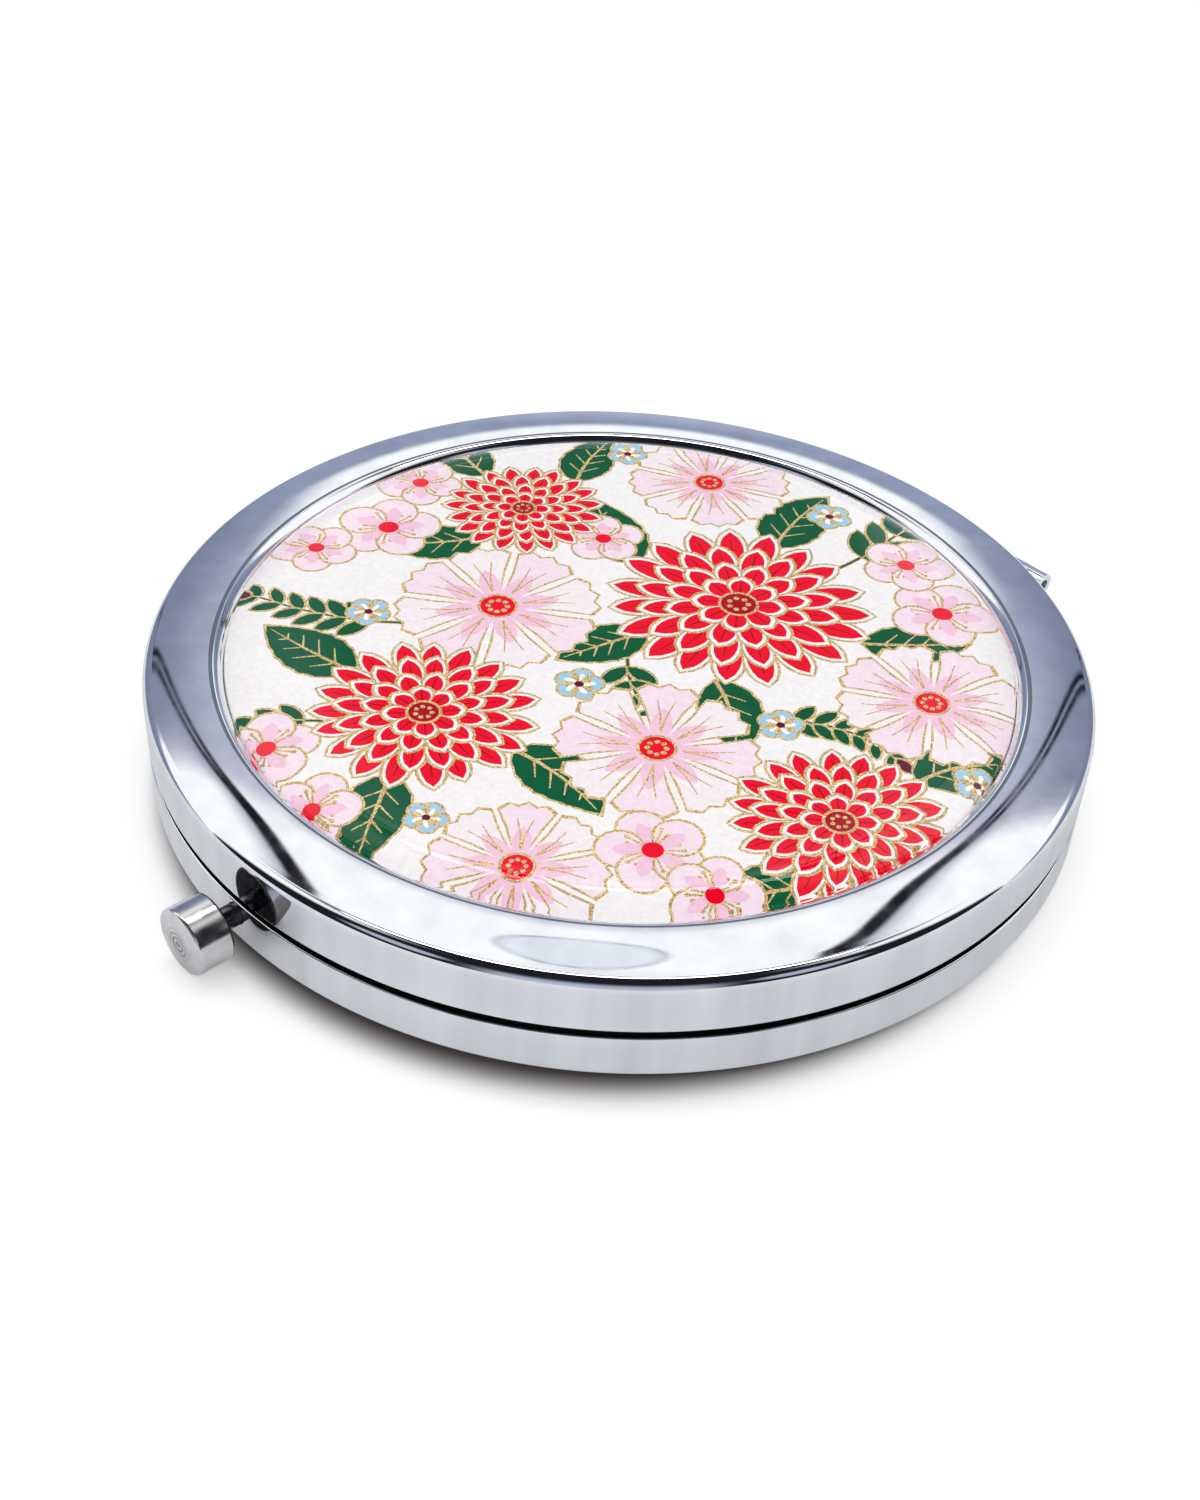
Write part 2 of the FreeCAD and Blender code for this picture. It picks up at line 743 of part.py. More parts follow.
pieces = {
    "base_shell": make_base_shell(),
    "base_frame": make_base_frame(),
    "base_mirror_tape": make_base_mirror_tape(),
    "base_mirror": make_base_mirror(),
    "base_hinge_leaf": make_base_hinge_leaf(),
    "hinge_pin": make_hinge_pin(),
    "catch_spring": make_catch_spring(),
    "latch_cover": make_latch_cover(),
    "cover_rivets": make_cover_rivets(),
    "push_button": make_push_button(),
    "retaining_clip": make_retaining_clip(),
    "lid_shell": make_lid_shell(),
    "tray_adhesive": make_tray_adhesive(),
    "printed_disc": make_printed_disc(),
    "resin_dome": make_resin_dome(),
    "lid_frame": make_lid_frame(),
    "lid_mirror_tape": make_lid_mirror_tape(),
    "lid_mirror": make_lid_mirror(),
    "lid_hinge_leaf": make_lid_hinge_leaf(),
    "catch_hook": make_catch_hook(),
    "hook_rivets": make_hook_rivets(),
}

os.makedirs("parts", exist_ok=True)
for name, shape in pieces.items():
    shape.exportStep(f"parts/{name}.step")
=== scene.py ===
# Looks of a round compact mirror: plated shells, a floral print under clear resin, and a turned button.
# Sizes are in millimetres and become metres when a mesh is made. Z is up and the button is at -Y.
import math
import random

import bmesh
import bpy
from mathutils import Matrix, Vector
from mathutils.geometry import delaunay_2d_cdt


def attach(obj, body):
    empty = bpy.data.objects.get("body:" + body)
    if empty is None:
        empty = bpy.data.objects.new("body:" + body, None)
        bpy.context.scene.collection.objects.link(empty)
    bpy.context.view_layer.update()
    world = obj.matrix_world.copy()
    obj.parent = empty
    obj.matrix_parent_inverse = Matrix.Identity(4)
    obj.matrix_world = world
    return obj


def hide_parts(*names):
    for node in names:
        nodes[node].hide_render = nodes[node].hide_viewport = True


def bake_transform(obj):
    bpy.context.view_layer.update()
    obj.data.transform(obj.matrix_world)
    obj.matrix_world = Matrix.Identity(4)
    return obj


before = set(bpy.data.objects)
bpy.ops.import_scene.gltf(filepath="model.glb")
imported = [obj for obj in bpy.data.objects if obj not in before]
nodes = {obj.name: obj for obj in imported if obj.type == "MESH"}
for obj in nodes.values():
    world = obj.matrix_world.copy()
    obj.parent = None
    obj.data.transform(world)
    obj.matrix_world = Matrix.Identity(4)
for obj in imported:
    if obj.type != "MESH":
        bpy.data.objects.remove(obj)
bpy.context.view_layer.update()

scene = bpy.context.scene
MM = 0.001

# Case
case_radius = 35.0
sheet_thickness = 0.4
base_rim = 3.85
lid_rim = 4.45
lid_edge = 8.57
crest_height = 9.0
base_edge_radius = 0.45
lid_edge_radius = 0.8
rim_edge_radius = 0.12
bevel_width = 5.75
bevel_rise = 0.43
bevel_radius = 45.0
bevel_break_share = 0.5
bevel_break_rise_share = 0.76
tray_depth = 1.3
crest_radius = 1.0
tray_corner_radius = 0.25

# Print and dome
paper_bottom = 7.75
paper_top = 7.9
print_radius = 28.98
dome_bottom = 7.89
dome_radius = 29.15
dome_edge = 8.6
dome_edge_rise = 0.9
dome_edge_width = 1.5
dome_edge_radius = 4.0
dome_rim_radius = 0.3
dome_shoulder_rise = 0.28
dome_shoulder_width = 12.0
dome_shoulder_radius = 900.0

# Wire catch
wire_diameter = 0.6
wire_y = -31.9
wire_middle_length = 6.8
wire_arm_radius = 24.0
wire_arm_angle = 22.0
wire_bend_radius = 0.7
wire_leg_length = 0.6
wire_arm_steps = 16
wire_bend_steps = 8
wire_segments = 16

# Mirrors
mirror_radius = 29.0
mirror_thickness = 1.5
mirror_chamfer = 0.25
mirror_dish = 0.5
base_mirror_bottom = 1.9
lid_mirror_bottom = 4.9

# Button
button_axis_height = 2.75
button_radius = 2.45
button_back = -36.7
button_length = 2.6
button_face_rise = 0.25
button_face_break_share = 0.55
button_face_radius = 8.0
button_edge_radius = 0.2
stem_radius = 0.8
stem_tip = -32.25
stem_tip_chamfer = 0.2
stem_clearance = 0.05
clip_groove = (-34.58, -34.17)
clip_groove_radius = 0.55
ring_count = 5
ring_pitch = 0.18
ring_depth = 0.03
ring_start = 0.4
dimple_radius = 0.3
dimple_depth = 0.14

# Hinge slots in the rims
hinge_half_length = 12.0
middle_knuckle_half_length = 4.9
outer_knuckle_start = 5.1
slot_clearance = 0.1
base_slot_bottom = 3.07
lid_slot_top = 5.26
slot_inner_radius = 34.08
cut_overrun = 1.0

# Fineness of turned meshes
turn_segments = 288
small_turn_segments = 96
round_steps = 12
dish_steps = 24
flat_guard = 0.03
sharp_angle = 35.0
on_axis = 1e-6
HALF_TURN = 180.0
FULL_TURN = 360.0

# Camera, as fitted to the photograph
image_height = 1500
focal_pixels = 1971
sensor_width = 36.0
camera_distance = 152.3
camera_elevation = 38.93
camera_drop = 0.45
camera_pan = -0.56
camera_tilt = 39.29
camera_roll = 3.43
camera_azimuth = 44.3
camera_clip_share = 0.01

# Print: widths of its lines, size of its small buds, fineness of its outlines, and seed of its chances
gold_line = 0.22
vein_line = 0.18
bud_length = 1.5
bud_width = 0.9
petal_roundness = 0.65
small_petal_steps = 6
dot_steps = 8
merge_distance = 0.0005
print_seed = 7

# Places of the flowers: centre u, centre v and radius, as shares of the print's radius
chrysanthemum_shares = [(0.30, 0.20, 0.36), (-0.47, -0.34, 0.29), (-0.30, 0.60, 0.23), (0.53, -0.64, 0.27)]
cosmos_shares = [(-0.33, 0.12, 0.27), (0.10, -0.42, 0.25), (0.78, -0.17, 0.24), (0.22, 0.80, 0.23),
                 (-0.20, -0.86, 0.21)]
plum_shares = [(0.10, -0.78, 0.13), (0.24, -0.90, 0.11), (0.84, 0.22, 0.14), (0.76, 0.44, 0.12),
               (-0.66, 0.46, 0.14), (-0.60, 0.70, 0.115), (-0.84, 0.34, 0.11), (-0.07, 0.47, 0.11),
               (-0.82, -0.50, 0.12), (-0.68, -0.70, 0.11)]
tiny_shares = [(0.56, 0.66, 0.06), (-0.10, -0.19, 0.06), (0.40, -0.30, 0.055), (-0.66, 0.06, 0.055),
               (-0.02, 0.93, 0.055), (0.86, -0.46, 0.055), (-0.42, -0.72, 0.05)]
# Leaves: foot u, foot v, length and width as shares, and the way they point in degrees
leaf_shares = [(0.02, 0.36, 0.33, 0.18, 118), (0.40, 0.48, 0.32, 0.18, 72), (0.62, 0.06, 0.28, 0.16, 2),
               (0.24, -0.14, 0.28, 0.16, -66), (0.06, 0.05, 0.26, 0.15, 212), (-0.66, -0.20, 0.30, 0.17, 150),
               (-0.24, -0.46, 0.30, 0.17, -30), (-0.52, -0.58, 0.28, 0.16, 262),
               (-0.16, 0.76, 0.26, 0.15, 84), (-0.42, 0.76, 0.26, 0.15, 128), (-0.40, 0.44, 0.28, 0.16, 205),
               (0.72, -0.48, 0.26, 0.15, 40), (0.46, -0.84, 0.24, 0.14, 200), (0.62, -0.86, 0.26, 0.15, 285)]
# Sprigs: foot u, foot v and length as shares, the way they point and how far they bend, in degrees
sprig_shares = [(0.55, 0.38, 0.56, 40, 14), (-0.56, 0.02, 0.42, 184, -16), (0.02, -0.02, 0.40, 262, 30),
                (-0.68, -0.40, 0.34, 175, 24), (0.36, -0.30, 0.34, 22, -40)]

# Chrysanthemum: rings of petals, each with reach and foot as shares of the radius, and a number of petals
ray_ring_shares = [(1.0, 0.30, 19), (0.78, 0.22, 16), (0.56, 0.14, 12), (0.36, 0.06, 8)]
ray_sway = 2
ray_reach_shares = (0.95, 1.0)
ray_width_share = 0.68
ray_red_tip_share = 0.035
ray_red_width_share = 0.82
ray_crease_shares = (0.35, 0.8)
ray_heart_share = 0.13
ray_heart_dots = 7
heart_dot_place_share = 0.55
heart_dot_share = 0.17

# Cosmos: waist and toothed edge of a petal, by reach as a share of the radius and side of the half angle
cosmos_petals = 8
cosmos_waist_shares = (0.6, 0.74)
cosmos_edge_shares = [(0.90, -0.86), (0.98, -0.52), (0.93, -0.26), (1.0, 0), (0.93, 0.26), (0.98, 0.52),
                      (0.90, 0.86)]
# Tongue in each petal: start, end and width
cosmos_tongue_shares = (0.1, 0.62, 0.22)
cosmos_tongue_fullness = 0.9
cosmos_vein_angle = 7
cosmos_vein_shares = (0.25, 0.5, 0.75)
cosmos_heart_share = 0.17
cosmos_heart_dots = 8

# Plum blossom: stamens by their angle off the gap between two petals and their reach
plum_petals = 5
plum_petal_place_share = 0.56
plum_petal_share = 0.44
plum_tongue_shares = (0, 0.72, 0.32)
plum_tongue_fullness = 1.2
plum_stamen_shares = [(-16, 0.48), (0, 0.56), (16, 0.48)]
plum_heart_share = 0.2

# Leaf: places along it as shares of its length, reaches across it as shares of its width
leaf_bend = 16
leaf_steps = 14
leaf_fullness = 0.8
leaf_notch_share = 0.94
leaf_tooth_share = 0.12
leaf_rib_shares = (0, 0.25, 0.5, 0.75, 0.95)
leaf_vein_shares = (0.2, 0.38, 0.56, 0.74)
leaf_vein_lead_share = 0.12
leaf_vein_reach_share = 0.4
leaf_vein_angle = 48

# Sprig: place of the first pair of leaves and run of all, length of the first pair and what the others lose
sprig_pairs = 6
sprig_steps = 8
sprig_place_shares = (0.22, 0.72)
sprig_leaf_length_shares = (0.24, 0.1)
sprig_leaf_width_share = 0.42
sprig_leaf_angle = 46

ink_colours = {
    "paper": (0.93, 0.90, 0.91),
    "white": (0.94, 0.92, 0.92),
    "red": (0.86, 0.002, 0.022),
    "deep_red": (0.42, 0.001, 0.010),
    "pale_pink": (0.93, 0.76, 0.86),
    "blush": (0.93, 0.85, 0.89),
    "pink": (0.91, 0.58, 0.74),
    "green": (0.002, 0.10, 0.038),
    "maroon": (0.13, 0.004, 0.022),
    "sky": (0.36, 0.62, 0.82),
    "gold": (0.50, 0.34, 0.11),
}

# Metals and plastics: darker and lighter tone, least and most roughness, size of the patches, size and depth
# of the grain, and how much finer both are along X, Y and Z
even = (1, 1, 1)
metal_looks = {
    "plated_chrome": ((0.74, 0.76, 0.79), (0.88, 0.90, 0.93), (0.015, 0.06), 2.5, 14.0, 0.004, (1, 1, 0.08)),
    "turned_steel": ((0.64, 0.64, 0.65), (0.79, 0.79, 0.78), (0.12, 0.24), 1.2, 0.05, 0.001, even),
    # Stem and back of the button's head: turned steel darkened, as painted shade
    "stem_steel_painted_shade": ((0.10, 0.10, 0.11), (0.20, 0.20, 0.21), (0.15, 0.3), 1.2, 0.05, 0.001, even),
    "plain_steel": ((0.53, 0.53, 0.54), (0.66, 0.66, 0.67), (0.25, 0.4), 2.0, 0.08, 0.002, (1, 8, 8)),
    "spring_steel": ((0.44, 0.44, 0.46), (0.58, 0.58, 0.60), (0.2, 0.32), 1.5, 0.06, 0.001, (1, 6, 6)),
    "mirror_glass": ((0.86, 0.88, 0.87), (0.90, 0.91, 0.90), (0, 0.015), 8.0, 3.0, 0, even),
}
plastic_looks = {
    # Near black: the frames' own tone, and also a painted shade in the gap between the shells
    "frame_plastic": ((0.022, 0.022, 0.024), (0.045, 0.045, 0.05), (0.35, 0.5), 4.0, 0.12, 0.004, even),
    "foam_tape": ((0.75, 0.74, 0.70), (0.82, 0.81, 0.78), (0.8, 0.95), 0.8, 0.15, 0.03, even),
    "adhesive_film": ((0.70, 0.66, 0.52), (0.78, 0.74, 0.60), (0.3, 0.5), 1.5, 0.3, 0.005, even),
}
patch_detail = 4
grain_detail = 2
# Part of a noise's range that holds most of it
noise_shares = (0.3, 0.7)

# Turning marks on the button
turning_waves = {"Scale": 900, "Distortion": 1.2, "Detail": 3}
turning_depth = 0.003
turning_mark_radii = (0.5, 1.6)
turning_mark_share = 0.7
turning_mark_colour = (0.04, 0.04, 0.04)

# Ink, gold and resin
fibre_size = 0.35
fibre_detail = 6
fibre_depth = 0.008
ink_value_shares = (0.93, 1.04)
ink_roughness = (0.55, 0.75)
flake_size = 0.07
flake_colours = ((0.36, 0.24, 0.07), (0.88, 0.68, 0.34))
flake_roughness = (0.25, 0.55)
flake_depth = 0.02
flake_strength = 0.5
gold_metallic = 0.6
resin_look = {"Base Color": (0.99, 0.99, 0.985), "IOR": 1.45, "Transmission Weight": 1}
resin_roughness = (0, 0.02)
swell_size = 9.0
swell_detail = 1
swell_depth = 0.02
swell_strength = 0.2

# Floor, and its painted shadow where the case stands, by radii round a middle that is shifted to one side;
# there the floor's lift is also taken away
floor_half_width = 3000.0
floor_colour = (0.86, 0.86, 0.86)
floor_roughness = 0.9
floor_lift = 0.3
lift_radii = (31.8, 34.6)
painted_shadow_colour = (0.11, 0.095, 0.095)
seen_painted_shadow_radii = (31.1, 34.0)
painted_shadow_shift = 3.5
painted_shadow_azimuth = 29.0
# Floor as the metal mirrors it, with a painted glow near the case where it is mirrored once and a painted
# dark shade where it is mirrored twice
mirrored_floor_colour = (0.76, 0.77, 0.79)
painted_glow_strength = 0.2
painted_glow_radii = (32.0, 38.0)
mirrored_painted_shadow_radii = (31.0, 31.8)
twice_mirrored_painted_shade = (0.22, 0.21, 0.21)

# Light, and the room that the metal mirrors
light_level = 0.95
mirrored_level = 1.14
white = (1, 1, 1)
black = (0.012, 0.012, 0.016)
horizon_colour = (0.44, 0.48, 0.60)
# Colours by the angle in degrees up from the far horizon, over the top and down to the near one
room_stops = [
    (0, horizon_colour),
    (15, (0.46, 0.49, 0.62)),
    (21, (0.28, 0.33, 0.46)),
    (33, (0.29, 0.33, 0.45)),
    (45, (0.46, 0.49, 0.61)),
    (48, (0.55, 0.53, 0.64)),
    (50, white),
    (90, white),
    (105, black),
    (180, black),
]
shade_stops = [
    (62, black),
    (131, black),
    (143, (0.13, 0.15, 0.19)),
    (154, (0.34, 0.38, 0.47)),
    (166, (0.42, 0.46, 0.57)),
    (180, horizon_colour),
]
shade_angles = (58.0, 62.0)
# Sideways parts of a mirrored direction run from 0 straight ahead to 1 square to it
shade_sides = (0.28, 0.5)
window_foot_sag = 110.0
window_foot_drop = 4.6
window_foot_angles = (41.0, 45.0)
low_window_angles = (21.5, 24.0, 31.5, 33.5)
low_window_sag = 70.0
low_window_sides = (0.17, 0.25)
corner_sides = (0.22, 0.36)
corner_colour = (0.15, 0.18, 0.27)
corner_share = 0.7
# Ovals: angle of the middle and half height, sideways part of the middle and half width, shares of these at
# which the edge starts and ends, and colour
doorway = (36.3, 9.8, 0, 0.178, 0.85, 1.05, (0.15, 0.17, 0.21))
lamp_rim = (55.2, 3.3, -0.016, 0.068, 0.97, 1.03, (0.40, 0.44, 0.51))
lamp_face = (55.2, 3.3, -0.016, 0.068, 0.87, 0.95, (0.80, 0.83, 0.88))
near_window = (140.0, 22.0, 0.61, 0.18, 0.5, 1.0, (0.40, 0.44, 0.55))
# Bars of the window: they spread below their foot and draw together above their head
bar_middle_side = -0.02
bar_half_distance = 0.228
bar_foot_angle = 46.3
bar_spread = 0.0113
bar_head_angle = 55.0
bar_draw = 0.014
bar_bend_angle = 3.0
bar_core_half_width = 0.007
bar_half_width = 0.016
bar_slit_half_width = 0.005
bar_shade_width = 0.045
bar_shade_share = 0.75
lamp_width = 500.0
lamp_depth = 80.0
lamp_distance = 700.0
lamp_elevation = 72.0
lamp_power = 0.7


# Meshes

def turned(angle, axis):
    return Matrix.Rotation(math.radians(angle), 4, axis)


def rounded_line(corners):
    """Points of a line through (radius, height, round) corners.
    A point close to each end of a round keeps the straight beside it flat when it is shaded."""
    points = []
    for i, (radius, height, bend) in enumerate(corners):
        corner = Vector((radius, height))
        if not bend:
            points.append(corner)
            continue
        back = (Vector(corners[i - 1][:2]) - corner).normalized()
        ahead = (Vector(corners[i + 1][:2]) - corner).normalized()
        half = back.angle(ahead) / 2
        start = corner + back * (bend / math.tan(half))
        end = corner + ahead * (bend / math.tan(half))
        centre = corner + (back + ahead).normalized() * (bend / math.sin(half))
        sweep = (start - centre).angle_signed(end - centre)
        points.append(start + back * flat_guard)
        for step in range(round_steps + 1):
            turn = Matrix.Rotation(-sweep * step / round_steps, 2)
            points.append(centre + turn @ (start - centre))
        points.append(end + ahead * flat_guard)
    return points


def add_object(name, data):
    item = bpy.data.objects.new(name, data)
    scene.collection.objects.link(item)
    return item


def new_piece(name, points, faces, place=Matrix.Identity(4)):
    """Object from points in millimetres."""
    mesh = bpy.data.meshes.new(name)
    mesh.from_pydata([place @ Vector(point) * MM for point in points], [], faces)
    return add_object(name, mesh)


def lathe(name, line, segments, place=Matrix.Identity(4)):
    """Solid turned about Z from a line of (radius, height) that starts and ends on the axis."""
    points = []
    rings = []
    for radius, height in line:
        first = len(points)
        count = 1 if radius < on_axis else segments
        for i in range(count):
            turn = 2 * math.pi * i / segments
            points.append((radius * math.cos(turn), radius * math.sin(turn), height))
        rings.append([first + i % count for i in range(segments + 1)])
    faces = []
    for low, high in zip(rings, rings[1:]):
        for i in range(segments):
            corners = [low[i], low[(i + 1) % segments], high[(i + 1) % segments], high[i]]
            faces.append(list(dict.fromkeys(corners)))
    piece = new_piece(name, points, faces, place)
    tidy_normals(piece)
    return piece


def tidy_normals(piece):
    """Normals that point outwards, smooth shading, and sharp edges at real corners."""
    mesh = bmesh.new()
    mesh.from_mesh(piece.data)
    bmesh.ops.recalc_face_normals(mesh, faces=mesh.faces)
    mesh.to_mesh(piece.data)
    mesh.free()
    piece.data.shade_smooth()
    piece.data.set_sharp_from_angle(angle=math.radians(sharp_angle))


def block(x_range, y_range, z_range):
    """Box-shaped cutter."""
    points = [(x, y, z) for x in x_range for y in y_range for z in z_range]
    faces = [(0, 1, 3, 2), (4, 6, 7, 5), (0, 4, 5, 1), (2, 3, 7, 6), (0, 2, 6, 4), (1, 5, 7, 3)]
    return new_piece("cutter", points, faces)


def cut(piece, cutters):
    """Takes the cutters out of the piece and removes them."""
    for cutter in cutters:
        change = piece.modifiers.new("cut", "BOOLEAN")
        change.operation = "DIFFERENCE"
        change.solver = "EXACT"
        change.object = cutter
    shape = piece.evaluated_get(bpy.context.evaluated_depsgraph_get())
    mesh = bpy.data.meshes.new_from_object(shape)
    piece.modifiers.clear()
    piece.data = mesh
    for cutter in cutters:
        bpy.data.objects.remove(cutter)
    tidy_normals(piece)


# Shells

def sheet_line(corners):
    """Line of a stamped cup, axis to axis: its outer corners, and inner ones a sheet's thickness away."""
    bare = [Vector(corner[:2]) for corner in corners]
    runs = [(b - a).normalized() for a, b in zip(bare, bare[1:])]
    inner = []
    for i, corner in enumerate(bare):
        before = runs[max(i - 1, 0)]
        after = runs[min(i, len(runs) - 1)]
        side = Vector((before.y + after.y, -before.x - after.x))
        inner.append((*(corner + side * (sheet_thickness / (1 + before.dot(after)))), 0))
    inner.reverse()
    return rounded_line(corners + inner if bare[0].x < on_axis else inner + corners)


def bevel_break(edge_height, rise):
    """Corner halfway across the bevel, where it gets steeper."""
    height = edge_height + rise * bevel_break_rise_share
    return case_radius - bevel_width * bevel_break_share, height, bevel_radius


def along_button():
    """Places a lathe's axis on the button's axis, with its heights along Y."""
    return Matrix.Translation((0, 0, button_axis_height)) @ turned(-HALF_TURN / 2, "X")


def rim_slots(ranges, bottom, top):
    y_range = (slot_inner_radius, case_radius + cut_overrun)
    return [block((start - slot_clearance, end + slot_clearance), y_range, (bottom, top))
            for start, end in ranges]


def stem_hole():
    radius = stem_radius + stem_clearance
    start = -case_radius - cut_overrun
    end = -case_radius + sheet_thickness + cut_overrun
    line = [(0, start), (radius, start), (radius, end), (0, end)]
    return lathe("cutter", line, small_turn_segments, along_button())


def make_base_shell():
    corners = [
        (case_radius, base_rim, rim_edge_radius),
        (case_radius, bevel_rise, base_edge_radius),
        bevel_break(bevel_rise, -bevel_rise),
        (case_radius - bevel_width, 0, 0),
        (0, 0, 0),
    ]
    shell = lathe("base_shell_plated", sheet_line(corners), turn_segments)
    strips = [(-hinge_half_length, -outer_knuckle_start), (outer_knuckle_start, hinge_half_length)]
    cut(shell, rim_slots(strips, base_slot_bottom, base_rim + cut_overrun) + [stem_hole()])
    return shell


def make_lid_shell():
    tray_radius = case_radius - bevel_width
    tray_floor = crest_height - tray_depth
    corners = [
        (0, tray_floor, 0),
        (tray_radius, tray_floor, tray_corner_radius),
        (tray_radius, crest_height, crest_radius),
        bevel_break(lid_edge, bevel_rise),
        (case_radius, lid_edge, lid_edge_radius),
        (case_radius, lid_rim, rim_edge_radius),
    ]
    shell = lathe("lid_shell_plated", sheet_line(corners), turn_segments)
    strip = (-middle_knuckle_half_length, middle_knuckle_half_length)
    cut(shell, rim_slots([strip], lid_rim - cut_overrun, lid_slot_top))
    return shell


# Dome, mirrors and button

def make_dome():
    """Clear cap, which lets the light through to the print unhindered."""
    edge_end = (dome_radius - dome_edge_width, dome_edge + dome_edge_rise)
    shoulder_end = (edge_end[0] - dome_shoulder_width, edge_end[1] + dome_shoulder_rise)
    corners = [
        (0, dome_bottom, 0),
        (dome_radius, dome_bottom, 0),
        (dome_radius, dome_edge, dome_rim_radius),
        (*edge_end, dome_edge_radius),
        (*shoulder_end, dome_shoulder_radius),
        (0, shoulder_end[1], 0),
    ]
    dome = lathe("resin_cap", rounded_line(corners), turn_segments)
    dome.visible_diffuse = False
    dome.visible_shadow = False
    return dome


def mirror_line(bottom):
    """Corners of a glass disc with seamed edges, up to the edge of its face."""
    top = bottom + mirror_thickness
    return [
        Vector((0, bottom)),
        Vector((mirror_radius - mirror_chamfer, bottom)),
        Vector((mirror_radius, bottom + mirror_chamfer)),
        Vector((mirror_radius, top - mirror_chamfer)),
        Vector((mirror_radius - mirror_chamfer, top)),
    ]


def make_base_mirror():
    """Glass whose face is a shallow bowl."""
    line = mirror_line(base_mirror_bottom)
    edge = line[-1]
    for step in range(1, dish_steps + 1):
        share = 1 - step / dish_steps
        line.append(Vector((edge.x * share, edge.y - mirror_dish * (1 - share ** 2))))
    return lathe("base_mirror_glass", line, turn_segments)


def make_lid_mirror():
    line = mirror_line(lid_mirror_bottom)
    return lathe("lid_mirror_glass", line + [Vector((0, line[-1].y))], turn_segments)


def turning_marks(face):
    """Dimple and fine grooves that the cutting tool left in the middle of the button's domed face."""
    break_radius = button_radius * button_face_break_share
    slope = math.atan2(button_face_rise, button_radius - break_radius)
    flat_radius = break_radius - button_face_radius * math.tan(slope / 2)
    points = [Vector((0, face + dimple_depth)), Vector((dimple_radius, face))]
    for i in range(2 * ring_count):
        radius = ring_start + ring_pitch * i / 2
        fall = max(radius - flat_radius, 0) ** 2 / (2 * button_face_radius)
        groove = i % 2 * ring_depth / (1 + i // 2)
        points.append(Vector((radius, face + fall + groove)))
    return points


def wire_path():
    """Places along half of the wire from its middle, each with its way ahead and its level side."""
    path = [(Vector((0, wire_y, button_axis_height)), Vector((1, 0, 0)), Vector((0, 1, 0)))]
    centre = Vector((wire_middle_length / 2, wire_y + wire_arm_radius, button_axis_height))
    for step in range(wire_arm_steps + 1):
        turn = math.radians(wire_arm_angle) * step / wire_arm_steps
        ahead = Vector((math.cos(turn), math.sin(turn), 0))
        level = Vector((-math.sin(turn), math.cos(turn), 0))
        path.append((centre - level * wire_arm_radius, ahead, level))
    arm_end, out, level = path[-1]
    down = Vector((0, 0, -1))
    for step in range(1, wire_bend_steps + 1):
        turn = math.pi / 2 * step / wire_bend_steps
        reach = out * math.sin(turn) + down * (1 - math.cos(turn))
        path.append((arm_end + reach * wire_bend_radius, out * math.cos(turn) + down * math.sin(turn), level))
    path.append((path[-1][0] + down * wire_leg_length, down, level))
    return path


def make_wire_half(name, side):
    """Half of the wire catch, which bends where the button's stem pushes its middle."""
    path = wire_path()
    points = []
    for place, ahead, level in path:
        upright = ahead.cross(level)
        for i in range(wire_segments):
            turn = 2 * math.pi * i / wire_segments
            point = place + (level * math.cos(turn) + upright * math.sin(turn)) * (wire_diameter / 2)
            points.append((side * point.x, point.y, point.z))
    faces = [range(wire_segments), range(len(points) - wire_segments, len(points))]
    for ring in range(len(path) - 1):
        for i in range(wire_segments):
            low = ring * wire_segments + i
            beside = ring * wire_segments + (i + 1) % wire_segments
            faces.append((low, beside, beside + wire_segments, low + wire_segments))
    piece = new_piece(name, points, faces)
    tidy_normals(piece)
    return piece


def bend_with_button(piece):
    """Bakes the piece's placing into its mesh and hides the catch spring node."""
    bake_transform(piece)
    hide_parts("catch_spring")


def make_button():
    """Turned head and stem; what lies behind the head has a second material, the same steel darkened as
    painted shade.
    """
    face_edge = button_back - button_length
    face = face_edge - button_face_rise
    corners = [
        (0, face, 0),
        (button_radius * button_face_break_share, face, button_face_radius),
        (button_radius, face_edge, button_edge_radius),
        (button_radius, button_back, button_edge_radius),
        (stem_radius, button_back, 0),
        (stem_radius, clip_groove[0], 0),
        (clip_groove_radius, clip_groove[0], 0),
        (clip_groove_radius, clip_groove[1], 0),
        (stem_radius, clip_groove[1], 0),
        (stem_radius, stem_tip - stem_tip_chamfer, 0),
        (stem_radius - stem_tip_chamfer, stem_tip, 0),
        (0, stem_tip, 0),
    ]
    marks = turning_marks(face)
    rest = [point for point in rounded_line(corners) if point.x > marks[-1].x or point.y > face_edge]
    button = lathe("button_turned", marks + rest, small_turn_segments, along_button())
    # Faces behind the head take the steel darkened as painted shade
    for polygon in button.data.polygons:
        polygon.material_index = int(polygon.center.y > (button_back - button_edge_radius) * MM)
    return button


# Printed flowers: outlines in painter's order, in millimetres on the disc, u to the right and v up

shapes = []
chance = random.Random(print_seed)


def paint(outline, ink):
    """Adds a shape on top of those before it, its outline always turning left."""
    area = sum(a[0] * b[1] - b[0] * a[1] for a, b in zip(outline, outline[1:] + outline[:1]))
    shapes.append((outline if area > 0 else outline[::-1], ink))


def at(place, angle, along, across=0):
    """Point beside a place, some way along an angle in degrees and some way across it."""
    turn = math.radians(angle)
    u = place[0] + along * math.cos(turn) - across * math.sin(turn)
    v = place[1] + along * math.sin(turn) + across * math.cos(turn)
    return u, v


def circle(place, radius, steps=20):
    return [at(place, FULL_TURN * i / steps, radius) for i in range(steps)]


